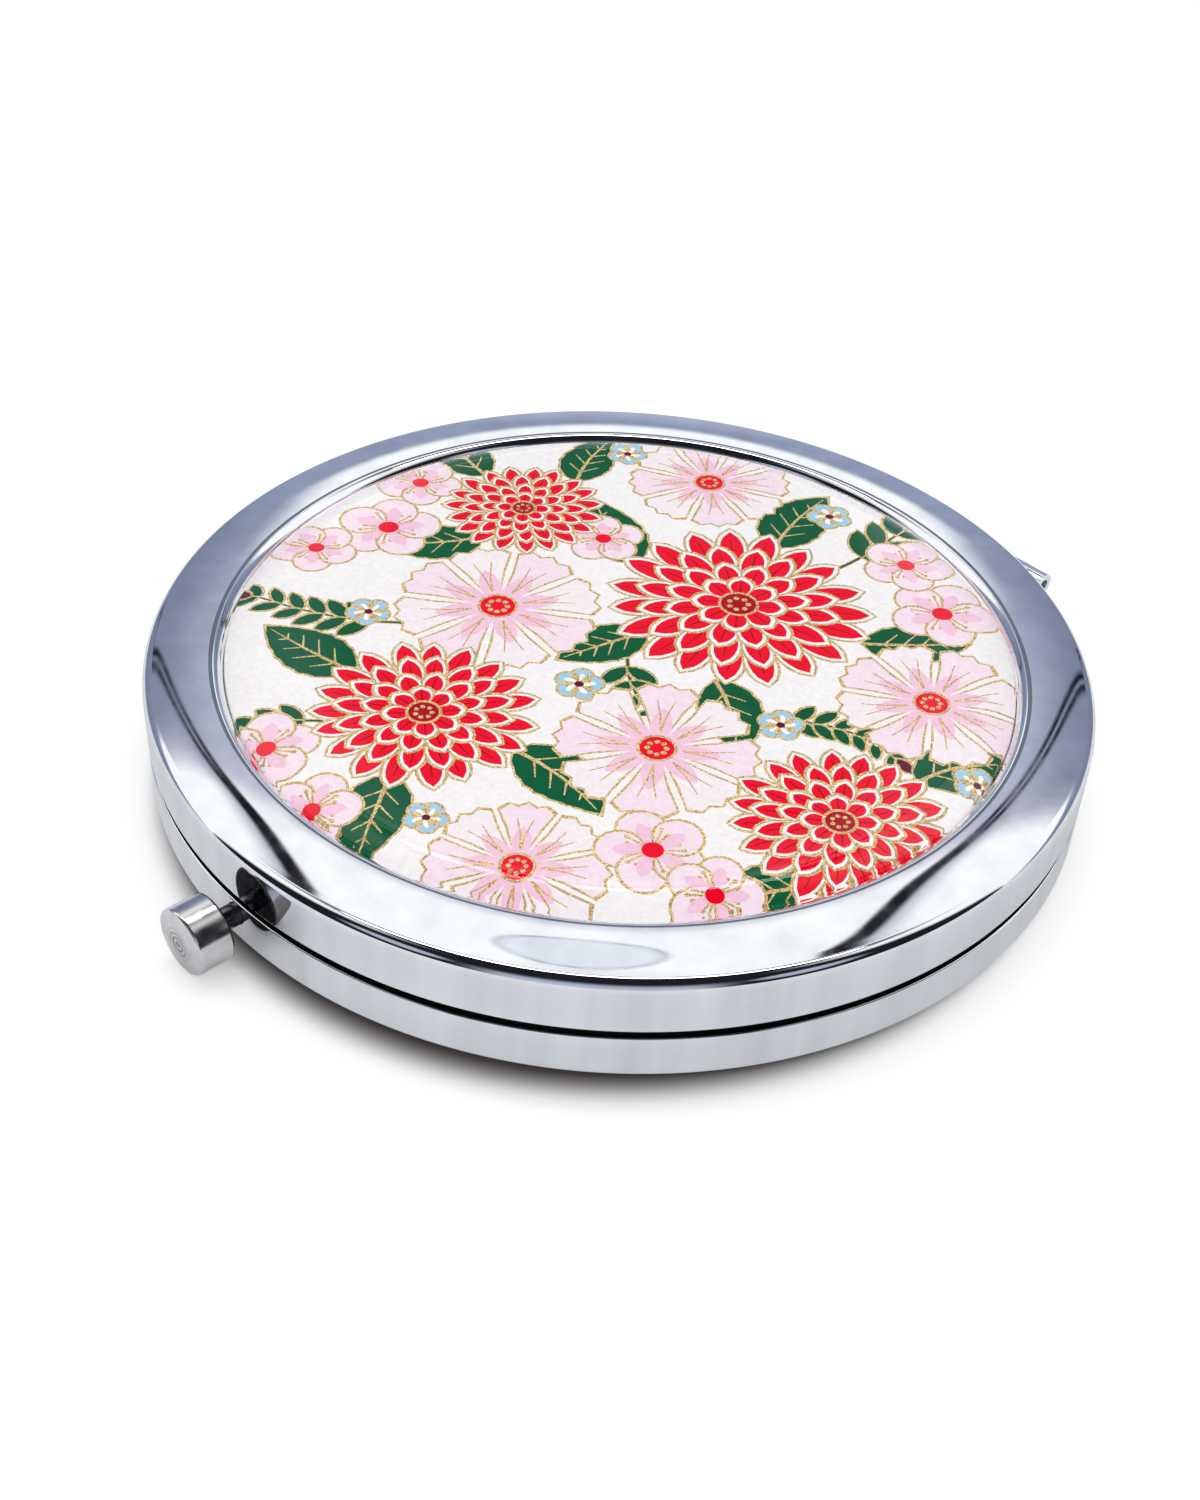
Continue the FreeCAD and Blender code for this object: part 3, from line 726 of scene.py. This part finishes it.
def petal(place, angle, start, end, width, fullness=1.5, steps=9):
    """Outline that swells from a narrow foot to a rounded tip."""
    sides = []
    for i in range(steps + 1):
        share = i / steps
        swell = math.sin(math.pi * share ** fullness) ** petal_roundness if 0 < share < 1 else 0
        sides.append((start + (end - start) * share, width / 2 * swell))
    left = [at(place, angle, along, half) for along, half in sides]
    right = [at(place, angle, along, -half) for along, half in sides[-2:0:-1]]
    return left + right


def stroke(points, width_start, width_end):
    """Tapered ribbon along a few points."""
    left, right = [], []
    for i, (u, v) in enumerate(points):
        before = points[max(i - 1, 0)]
        after = points[min(i + 1, len(points) - 1)]
        length = math.hypot(after[0] - before[0], after[1] - before[1])
        normal = (-(after[1] - before[1]) / length, (after[0] - before[0]) / length)
        half = (width_start + (width_end - width_start) * i / (len(points) - 1)) / 2
        left.append((u + normal[0] * half, v + normal[1] * half))
        right.append((u - normal[0] * half, v - normal[1] * half))
    return left + right[::-1]


def bent_line(place, angle, length, bend):
    """Function that gives the point at any share of a bent line."""
    def point(share):
        return at(place, angle + bend * share, length * share)
    return point


def chrysanthemum(place, radius):
    for reach, foot, count in ray_ring_shares:
        offset = chance.uniform(0, FULL_TURN)
        for i in range(count):
            angle = offset + FULL_TURN * i / count + chance.uniform(-ray_sway, ray_sway)
            end = radius * reach * chance.uniform(*ray_reach_shares)
            start = radius * foot
            width = ray_width_share * 2 * math.pi * end / count
            red_end = end - radius * ray_red_tip_share
            paint(petal(place, angle, start, end + gold_line, width + 2 * gold_line), "gold")
            paint(petal(place, angle, start, end, width), "white")
            paint(petal(place, angle, start, red_end, width * ray_red_width_share), "red")
            crease = [at(place, angle, start + (end - start) * share) for share in ray_crease_shares]
            paint(stroke(crease, vein_line, vein_line / 2), "deep_red")
    flower_heart(place, radius * ray_heart_share, "deep_red", ray_heart_dots)


def flower_heart(place, radius, ink, dots):
    paint(circle(place, radius + gold_line), "gold")
    paint(circle(place, radius), ink)
    for i in range(dots):
        spot = at(place, FULL_TURN * i / dots, radius * heart_dot_place_share)
        paint(circle(spot, radius * heart_dot_share, dot_steps), "gold")


def cosmos(place, radius):
    half = HALF_TURN / cosmos_petals
    offset = chance.uniform(0, FULL_TURN)
    waist, waist_side = cosmos_waist_shares
    tongue = [radius * share for share in cosmos_tongue_shares]
    paint(circle(place, radius / 2), "blush")

    def outline(angle, grow):
        points = [place]
        points.append(at(at(place, angle - half * waist_side, radius * waist), angle, 0, -grow))
        for reach, side in cosmos_edge_shares:
            points.append(at(at(place, angle + half * side, radius * reach + grow), angle, 0, side * grow))
        points.append(at(at(place, angle + half * waist_side, radius * waist), angle, 0, grow))
        return points

    for i in range(cosmos_petals):
        angle = offset + FULL_TURN * i / cosmos_petals
        paint(outline(angle, gold_line), "gold")
        paint(outline(angle, 0), "pale_pink" if i % 2 else "blush")
        paint(petal(place, angle, *tongue, cosmos_tongue_fullness), "pink")
        for side in (-cosmos_vein_angle, cosmos_vein_angle):
            line = [at(place, angle + side * step / 2, radius * share)
                    for step, share in enumerate(cosmos_vein_shares)]
            paint(stroke(line, vein_line, vein_line / 2), "gold")
    flower_heart(place, radius * cosmos_heart_share, "red", cosmos_heart_dots)


def plum(place, radius, fill="pale_pink", inner="pink", heart="red"):
    offset = chance.uniform(0, FULL_TURN)
    angles = [offset + FULL_TURN * i / plum_petals for i in range(plum_petals)]
    petal_radius = radius * plum_petal_share
    heart_radius = radius * plum_heart_share
    tongue = [radius * share for share in plum_tongue_shares]
    for angle in angles:
        middle = at(place, angle, radius * plum_petal_place_share)
        paint(circle(middle, petal_radius + gold_line), "gold")
        paint(circle(middle, petal_radius), fill)
    for angle in angles:
        paint(petal(place, angle, *tongue, plum_tongue_fullness), inner)
        for side, reach in plum_stamen_shares:
            turn = angle + HALF_TURN / plum_petals + side
            tip = at(place, turn, radius * reach)
            paint(stroke([at(place, turn, heart_radius), tip], vein_line, vein_line), "gold")
            paint(circle(tip, vein_line, dot_steps), "gold")
    paint(circle(place, heart_radius), heart)


def leaf(place, angle, length, width):
    bend = chance.uniform(-leaf_bend, leaf_bend)
    middle = bent_line(place, angle, length, bend)

    def side_points(grow, side):
        points = []
        for i in range(1, leaf_steps):
            share = i / leaf_steps
            tooth = leaf_notch_share + leaf_tooth_share * ((share * leaf_steps / 2) % 1)
            half = width / 2 * math.sin(math.pi * share ** leaf_fullness) ** leaf_fullness * tooth + grow
            points.append(at(middle(share), angle + 2 * bend * share, 0, side * half))
        return points

    for grow, ink in ((gold_line, "gold"), (0, "green")):
        foot = at(place, angle, -grow)
        tip = at(middle(1), angle + 2 * bend, 2 * grow)
        paint([foot] + side_points(grow, -1) + [tip] + side_points(grow, 1)[::-1], ink)
    paint(stroke([middle(share) for share in leaf_rib_shares], 2 * vein_line, vein_line / 2), "gold")
    for share in leaf_vein_shares:
        lead = math.sin(math.pi * (share + leaf_vein_lead_share) ** leaf_fullness)
        for side in (-1, 1):
            turn = angle + 2 * bend * share + side * leaf_vein_angle
            end = at(middle(share), turn, width * leaf_vein_reach_share * lead)
            paint(stroke([middle(share), end], vein_line, vein_line / 2), "gold")


def sprig(place, angle, length, bend):
    middle = bent_line(place, angle, length, bend)
    first, run = sprig_place_shares
    longest, loss = sprig_leaf_length_shares
    line = [middle(i / sprig_steps) for i in range(sprig_steps + 1)]
    paint(stroke(line, 2 * gold_line, gold_line), "gold")
    paint(stroke(line, gold_line, gold_line / 2), "green")

    def small_petal(share, turn, start, end, width, ink):
        for grow, layer in ((gold_line, "gold"), (0, ink)):
            sizes = (start - grow, end + grow, width + 2 * grow)
            paint(petal(middle(share), turn, *sizes, 1, small_petal_steps), layer)

    for i in range(sprig_pairs):
        share = first + run * i / (sprig_pairs - 1)
        size = length * (longest - loss * i / sprig_pairs)
        for side in (-1, 1):
            turn = angle + 2 * bend * share + side * sprig_leaf_angle
            small_petal(share, turn, 0, size, size * sprig_leaf_width_share, "green")
    small_petal(1, angle + 2 * bend, -gold_line, bud_length, bud_width, "maroon")


def draw_flowers():
    def spot(u_share, v_share):
        return u_share * print_radius, v_share * print_radius

    for u, v, length, angle, bend in sprig_shares:
        sprig(spot(u, v), angle, length * print_radius, bend)
    for u, v, length, width, angle in leaf_shares:
        leaf(spot(u, v), angle, length * print_radius, width * print_radius)
    for u, v, radius in tiny_shares:
        plum(spot(u, v), radius * print_radius, "sky", "white", "maroon")
    for u, v, radius in cosmos_shares:
        cosmos(spot(u, v), radius * print_radius)
    for u, v, radius in plum_shares:
        plum(spot(u, v), radius * print_radius)
    for u, v, radius in chrysanthemum_shares:
        chrysanthemum(spot(u, v), radius * print_radius)


def make_print():
    """Paper disc, its upper face divided along the outlines, each face in its uppermost shape's ink."""
    draw_flowers()
    outlines = [(circle((0, 0), print_radius, turn_segments), "paper")] + shapes
    points = []
    loops = []
    for outline, ink in outlines:
        loops.append(list(range(len(points), len(points) + len(outline))))
        points += [Vector(at((0, 0), camera_azimuth, u, v)) for u, v in outline]
    triangles_inside = 1
    found = delaunay_2d_cdt(points, [], loops, triangles_inside, merge_distance, True)
    corners, _, faces, _, _, sources = found
    kept = [(face, max(source)) for face, source in zip(faces, sources) if 0 in source]
    upper = [(*corner, paper_top) for corner in corners]
    sheet = new_piece("print_sheet", upper, [face for face, top in kept])
    inks = sheet.data.color_attributes.new("ink", "FLOAT_COLOR", "CORNER")
    for polygon, (face, top) in zip(sheet.data.polygons, kept):
        ink = outlines[top][1]
        polygon.material_index = 1 if ink == "gold" else 0
        for corner in polygon.loop_indices:
            inks.data[corner].color = (*ink_colours[ink], 1)
    close_sheet(sheet)
    return sheet


def close_sheet(sheet):
    """Adds the paper's edge and its back."""
    mesh = bmesh.new()
    mesh.from_mesh(sheet.data)
    bmesh.ops.delete(mesh, geom=[vert for vert in mesh.verts if not vert.link_faces], context="VERTS")
    rim = [edge for edge in mesh.edges if len(edge.link_faces) == 1]
    grown = bmesh.ops.extrude_edge_only(mesh, edges=rim)["geom"]
    lower = {item for item in grown if isinstance(item, bmesh.types.BMVert)}
    bmesh.ops.translate(mesh, verts=list(lower), vec=(0, 0, (paper_bottom - paper_top) * MM))
    edges = [item for item in grown if isinstance(item, bmesh.types.BMEdge)]
    bmesh.ops.edgeloop_fill(mesh, edges=[edge for edge in edges if lower.issuperset(edge.verts)])
    bmesh.ops.recalc_face_normals(mesh, faces=mesh.faces)
    mesh.to_mesh(sheet.data)
    mesh.free()


# Shader nodes

def set_inputs(node, values):
    """Gives a node's inputs their numbers and colours, or joins them to other nodes."""
    for name, value in values.items():
        socket = node.inputs[name]
        if isinstance(value, bpy.types.NodeSocket):
            node.id_data.links.new(value, socket)
        elif socket.type == "RGBA":
            socket.default_value = (*value, 1)
        else:
            socket.default_value = value


def calculate(operation, *values, kind="ShaderNodeMath"):
    """Sum or the like over sockets and plain values."""
    sockets = [value for value in values if isinstance(value, bpy.types.NodeSocket)]
    node = sockets[0].id_data.nodes.new(kind)
    node.operation = operation
    set_inputs(node, dict(enumerate(values)))
    return node.outputs["Value"]


def measure(operation, *vectors):
    return calculate(operation, *vectors, kind="ShaderNodeVectorMath")


def product(first, second):
    return calculate("MULTIPLY", first, second)


def ease(source, start, end, low=0, high=1, kind="SMOOTHSTEP"):
    """Smooth step from low at the start value to high at the end value."""
    step = source.id_data.nodes.new("ShaderNodeMapRange")
    step.interpolation_type = kind
    set_inputs(step, {"Value": source, "From Min": start, "From Max": end, "To Min": low, "To Max": high})
    return step.outputs["Result"]


def fade(source, start, end, high=1):
    """Smooth step from high at the start value down to 0 at the end value."""
    return ease(source, start, end, high, 0)


def blend(factor, first, second):
    """Mix of two colours, each a socket or a plain colour."""
    node = factor.id_data.nodes.new("ShaderNodeMix")
    node.data_type = "RGBA"
    set_inputs(node, {"Factor": factor, "A": first, "B": second})
    return node.outputs["Result"]


def ramp(share, stops):
    """Colour that goes through stops, each a position and a colour, as the share grows."""
    node = share.id_data.nodes.new("ShaderNodeValToRGB")
    set_inputs(node, {"Fac": share})
    elements = node.color_ramp.elements
    while len(elements) < len(stops):
        elements.new(1)
    for element, (position, colour) in zip(elements, stops):
        element.position = position
        element.color = (*colour, 1)
    return node.outputs["Color"]


def object_place(tree):
    return tree.nodes.new("ShaderNodeTexCoord").outputs["Object"]


def noise(tree, size, detail, stretch=even):
    """Noise with grains of about this size in millimetres, over the object's own coordinates."""
    placed = tree.nodes.new("ShaderNodeMapping")
    set_inputs(placed, {"Vector": object_place(tree), "Scale": stretch})
    grain = tree.nodes.new("ShaderNodeTexNoise")
    set_inputs(grain, {"Vector": placed.outputs["Vector"], "Scale": 1 / (size * MM), "Detail": detail})
    return grain.outputs["Fac"]


def spread(source, low, high):
    """Middle part of a noise spread from low to high."""
    return ease(source, *noise_shares, low, high, "LINEAR")


def two_tone(source, dark, light):
    return ramp(source, list(zip(noise_shares, (dark, light))))


def bump(shader, source, depth, strength=1):
    """Relief of a depth in millimetres."""
    relief = shader.id_data.nodes.new("ShaderNodeBump")
    set_inputs(relief, {"Height": source, "Strength": strength, "Distance": depth * MM})
    set_inputs(shader, {"Normal": relief.outputs["Normal"]})


# Materials

def new_material(name):
    material = bpy.data.materials.new(name)
    material.use_nodes = True
    return material, material.node_tree, material.node_tree.nodes["Principled BSDF"]


def grained(name, look, metallic):
    """Metal or plastic with patches of slightly different tone and gloss, and a fine relief."""
    dark, light, roughness, patch, grain, depth, stretch = look
    material, tree, shader = new_material(name)
    patches = noise(tree, patch, patch_detail, stretch)
    set_inputs(shader, {
        "Metallic": metallic,
        "Base Color": two_tone(patches, dark, light),
        "Roughness": spread(patches, *roughness),
    })
    bump(shader, noise(tree, grain, grain_detail, stretch), depth)
    return material


def add_turning(material):
    """Fine rings round the button's axis in place of the grain, darkest in the middle of its face."""
    tree = material.node_tree
    shader = tree.nodes["Principled BSDF"]
    placed = tree.nodes.new("ShaderNodeMapping")
    set_inputs(placed, {
        "Vector": object_place(tree),
        "Location": (0, 0, -button_axis_height * MM),
        "Scale": (1, 0, 1),
    })
    off_axis = placed.outputs["Vector"]
    waves = tree.nodes.new("ShaderNodeTexWave")
    waves.wave_type = "RINGS"
    waves.rings_direction = "SPHERICAL"
    set_inputs(waves, {"Vector": off_axis, **turning_waves})
    rings = waves.outputs["Fac"]
    bump(shader, rings, turning_depth)
    radius = calculate("DIVIDE", measure("LENGTH", off_axis), MM)
    marks = product(rings, fade(radius, *turning_mark_radii, turning_mark_share))
    plain = shader.inputs["Base Color"].links[0].from_socket
    set_inputs(shader, {"Base Color": blend(marks, plain, turning_mark_colour)})


def ink_material():
    """Matt ink on fibrous paper, coloured by the sheet's own ink colours."""
    material, tree, shader = new_material("printed_ink")
    colour = tree.nodes.new("ShaderNodeVertexColor")
    colour.layer_name = "ink"
    fibres = noise(tree, fibre_size, fibre_detail)
    toned = tree.nodes.new("ShaderNodeHueSaturation")
    set_inputs(toned, {"Color": colour.outputs["Color"], "Value": spread(fibres, *ink_value_shares)})
    set_inputs(shader, {
        "Base Color": toned.outputs["Color"],
        "Roughness": spread(fibres, *ink_roughness),
        "Specular IOR Level": 0,
    })
    bump(shader, fibres, fibre_depth)
    return material


def gold_material():
    """Gold ink with glittering flakes."""
    material, tree, shader = new_material("gold_ink")
    flakes = tree.nodes.new("ShaderNodeTexVoronoi")
    set_inputs(flakes, {"Vector": object_place(tree), "Scale": 1 / (flake_size * MM)})
    split = tree.nodes.new("ShaderNodeSeparateColor")
    set_inputs(split, {"Color": flakes.outputs["Color"]})
    set_inputs(shader, {
        "Metallic": gold_metallic,
        "Base Color": two_tone(split.outputs["Red"], *flake_colours),
        "Roughness": spread(split.outputs["Green"], *flake_roughness),
    })
    bump(shader, split.outputs["Blue"], flake_depth, flake_strength)
    return material


def resin_material():
    """Clear resin, very slightly uneven as it was poured."""
    material, tree, shader = new_material("clear_resin")
    swell = noise(tree, swell_size, swell_detail)
    set_inputs(shader, {**resin_look, "Roughness": spread(swell, *resin_roughness)})
    bump(shader, swell, swell_depth, swell_strength)
    return material


# Studio

def level_side(azimuth):
    """Level direction at an angle round the case from its button."""
    turn = math.radians(azimuth)
    return Vector((math.sin(turn), -math.cos(turn), 0))


def floor_material():
    """White, darker where the case stands as a painted shadow, and of other tones where the metal mirrors it,
    among them a painted glow near the case and a painted dark shade.
    """
    material, tree, shader = new_material("floor_white")
    path = tree.nodes.new("ShaderNodeLightPath").outputs
    seen = path["Is Camera Ray"]
    mirrored = calculate("MAXIMUM", path["Is Glossy Ray"], path["Is Transmission Ray"])
    twice = ease(path["Glossy Depth"], 1, 2)
    once = calculate("SUBTRACT", mirrored, twice)
    middle = level_side(painted_shadow_azimuth) * painted_shadow_shift * MM
    radius = calculate("DIVIDE", measure("DISTANCE", object_place(tree), middle), MM)
    # Painted shadow: the floor's colour turns dark near the case, for the camera and in reflections
    painted_shadow_seen = product(seen, fade(radius, *seen_painted_shadow_radii))
    painted_shadow_mirrored = product(mirrored, fade(radius, *mirrored_painted_shadow_radii))
    shade = calculate("MAXIMUM", painted_shadow_seen, painted_shadow_mirrored)
    tone = blend(mirrored, floor_colour, mirrored_floor_colour)
    # Painted dark shade where the floor is mirrored twice
    tone = blend(twice, tone, twice_mirrored_painted_shade)
    # The floor's lift is taken away near the case, so that the painted shadow shows
    seen_lift = product(seen, ease(radius, *lift_radii, 0, floor_lift))
    # Painted glow near the case where the floor is mirrored once
    painted_glow_near_case = fade(radius, *painted_glow_radii, painted_glow_strength)
    set_inputs(shader, {
        "Base Color": blend(shade, tone, painted_shadow_colour),
        "Roughness": floor_roughness,
        "Specular IOR Level": 0,
        "Emission Color": white,
        "Emission Strength": calculate("MULTIPLY_ADD", once, painted_glow_near_case, seen_lift),
    })
    return material


def make_floor():
    half = floor_half_width
    corners = [(-half, -half, 0), (half, -half, 0), (half, half, 0), (-half, half, 0)]
    floor = new_piece("floor", corners, [(0, 1, 2, 3)])
    floor.data.materials.append(floor_material())


def add_oval(room, angle, side, look):
    """Oval with a soft edge."""
    middle_angle, half_angle, middle_side, half_side, edge_start, edge_end, colour = look
    rise = calculate("DIVIDE", calculate("SUBTRACT", angle, middle_angle), half_angle)
    across = calculate("DIVIDE", calculate("SUBTRACT", side, middle_side), half_side)
    reach = calculate("SQRT", calculate("ADD", product(rise, rise), product(across, across)))
    return blend(fade(reach, edge_start, edge_end), room, colour)


def colours_by_angle(angle, stops):
    share = calculate("DIVIDE", angle, HALF_TURN)
    return ramp(share, [(position / HALF_TURN, colour) for position, colour in stops])


def add_wall(room, angle, side):
    """Low window and darker corners."""
    low_start, low_full, low_last, low_end = low_window_angles
    sag = product(low_window_sag, product(side, side))
    low_foot = ease(calculate("SUBTRACT", angle, sag), low_start, low_full)
    low_band = product(low_foot, fade(angle, low_last, low_end))
    low_window = product(low_band, fade(side, *low_window_sides))
    room = blend(low_window, room, white)
    corner = ease(side, *corner_sides, 0, corner_share)
    low_corner = product(corner, fade(angle, *window_foot_angles))
    return blend(low_corner, room, corner_colour)


def bar_place(angle):
    """Sideways distance of the bars from the line midway between them."""
    below = calculate("SUBTRACT", bar_foot_angle, angle)
    above = calculate("SUBTRACT", angle, bar_head_angle)
    below = calculate("SMOOTH_MAX", below, 0, bar_bend_angle)
    above = calculate("SMOOTH_MAX", above, 0, bar_bend_angle)
    spread_place = calculate("MULTIPLY_ADD", below, bar_spread, bar_half_distance)
    return calculate("MULTIPLY_ADD", above, -bar_draw, spread_place)


def add_bars(room, angle, across):
    """Dark bar on each side of the window, shaded outside, and in two below its foot."""
    off_middle = calculate("ABSOLUTE", calculate("SUBTRACT", across, bar_middle_side))
    outside = calculate("SUBTRACT", off_middle, bar_place(angle))
    in_window = ease(angle, *window_foot_angles)
    shade = fade(outside, 0, bar_shade_width, bar_shade_share)
    shade = product(product(ease(outside, -bar_half_width, 0), shade), in_window)
    room = blend(shade, room, corner_colour)
    off_bar = calculate("ABSOLUTE", outside)
    slit = calculate("MAXIMUM", ease(off_bar, 0, bar_slit_half_width), in_window)
    bar = product(fade(off_bar, bar_core_half_width, bar_half_width), slit)
    return blend(bar, room, black)


def mirrored_room(tree):
    """Room that the metal mirrors: windows on the far side, and dark shade above and in front."""
    where = tree.nodes.new("ShaderNodeTexCoord").outputs["Generated"]
    rise = measure("DOT_PRODUCT", where, (0, 0, 1))
    away = measure("DOT_PRODUCT", where, -level_side(camera_azimuth))
    across = measure("DOT_PRODUCT", where, level_side(camera_azimuth).cross(Vector((0, 0, -1))))
    side = calculate("ABSOLUTE", across)
    angle = product(calculate("ARCTAN2", rise, away), math.degrees(1))
    sag = product(window_foot_sag, product(side, side))
    drop = calculate("MINIMUM", sag, window_foot_drop)
    room = colours_by_angle(calculate("ADD", angle, drop), room_stops)
    room = add_wall(room, angle, side)
    for look in (doorway, lamp_rim, lamp_face):
        room = add_oval(room, angle, across, look)
    room = add_bars(room, angle, across)
    shade = product(ease(angle, *shade_angles), fade(side, *shade_sides))
    room = blend(shade, room, colours_by_angle(angle, shade_stops))
    return add_oval(room, angle, side, near_window)


def make_world():
    """Even light, a white background, and the room that the metal mirrors."""
    world = bpy.data.worlds.new("studio")
    scene.world = world
    world.use_nodes = True
    tree = world.node_tree
    path = tree.nodes.new("ShaderNodeLightPath").outputs
    not_through = calculate("SUBTRACT", 1, path["Is Transmission Ray"])
    mirrored = product(path["Is Glossy Ray"], not_through)
    level = calculate("MULTIPLY_ADD", mirrored, mirrored_level - light_level, light_level)
    set_inputs(tree.nodes["Background"], {
        "Color": blend(mirrored, white, mirrored_room(tree)),
        "Strength": calculate("MAXIMUM", level, path["Is Camera Ray"]),
    })


def make_lamp():
    """Large soft lamp above the far side."""
    data = bpy.data.lights.new("soft_lamp", "AREA")
    data.shape = "RECTANGLE"
    data.size = lamp_width * MM
    data.size_y = lamp_depth * MM
    data.energy = lamp_power
    lamp = add_object("soft_lamp", data)
    rise = math.radians(lamp_elevation)
    away = -level_side(camera_azimuth) * math.cos(rise) + Vector((0, 0, math.sin(rise)))
    lamp.location = away * lamp_distance * MM
    lamp.rotation_euler = away.to_track_quat("Z", "Y").to_euler()


def make_camera():
    data = bpy.data.cameras.new("photo_camera")
    data.sensor_width = sensor_width
    data.lens = sensor_width * focal_pixels / image_height
    data.clip_start = camera_distance * camera_clip_share * MM
    camera = add_object("photo_camera", data)
    scene.camera = camera
    rise = math.radians(camera_elevation)
    height = camera_distance * math.sin(rise) - camera_drop
    place = Matrix.Translation(Vector((0, -camera_distance * math.cos(rise), height)) * MM)
    aim = turned(-camera_pan, "Z") @ turned(HALF_TURN / 2 - camera_tilt, "X") @ turned(camera_roll, "Z")
    camera.matrix_world = turned(camera_azimuth, "Z") @ place @ aim


# Put together

def dress(piece, material):
    piece.data.materials.clear()
    piece.data.materials.append(material)


def stand_for(piece, node, body, material):
    """Shows a piece in place of a node."""
    piece.data.materials.append(material)
    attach(piece, body)
    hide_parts(node)


materials = {name: grained(name, look, metallic=1) for name, look in metal_looks.items()}
materials |= {name: grained(name, look, metallic=0) for name, look in plastic_looks.items()}
add_turning(materials["turned_steel"])
chrome = materials["plated_chrome"]
mirror = materials["mirror_glass"]

stand_for(make_base_shell(), "base_shell", "base", chrome)
stand_for(make_lid_shell(), "lid_shell", "lid", chrome)
stand_for(make_dome(), "resin_dome", "lid", resin_material())
stand_for(make_base_mirror(), "base_mirror", "base", mirror)
stand_for(make_lid_mirror(), "lid_mirror", "lid", mirror)
button = make_button()
stand_for(button, "push_button", "button", materials["turned_steel"])
button.data.materials.append(materials["stem_steel_painted_shade"])
print_sheet = make_print()
stand_for(print_sheet, "printed_disc", "lid", ink_material())
print_sheet.data.materials.append(gold_material())

for name, side in (("catch_wire_left", -1), ("catch_wire_right", 1)):
    half = make_wire_half(name, side)
    dress(half, materials["spring_steel"])
    bend_with_button(half)

dressed_nodes = {
    "frame_plastic": ["base_frame", "lid_frame"],
    "foam_tape": ["base_mirror_tape", "lid_mirror_tape"],
    "adhesive_film": ["tray_adhesive"],
    "plated_chrome": ["base_hinge_leaf", "lid_hinge_leaf"],
    "plain_steel": ["hinge_pin", "latch_cover", "cover_rivets", "catch_hook", "hook_rivets"],
    "spring_steel": ["retaining_clip"],
}
for material, names in dressed_nodes.items():
    for name in names:
        dress(nodes[name], materials[material])

make_floor()
make_world()
make_lamp()
make_camera()
scene.view_settings.view_transform = "Standard"
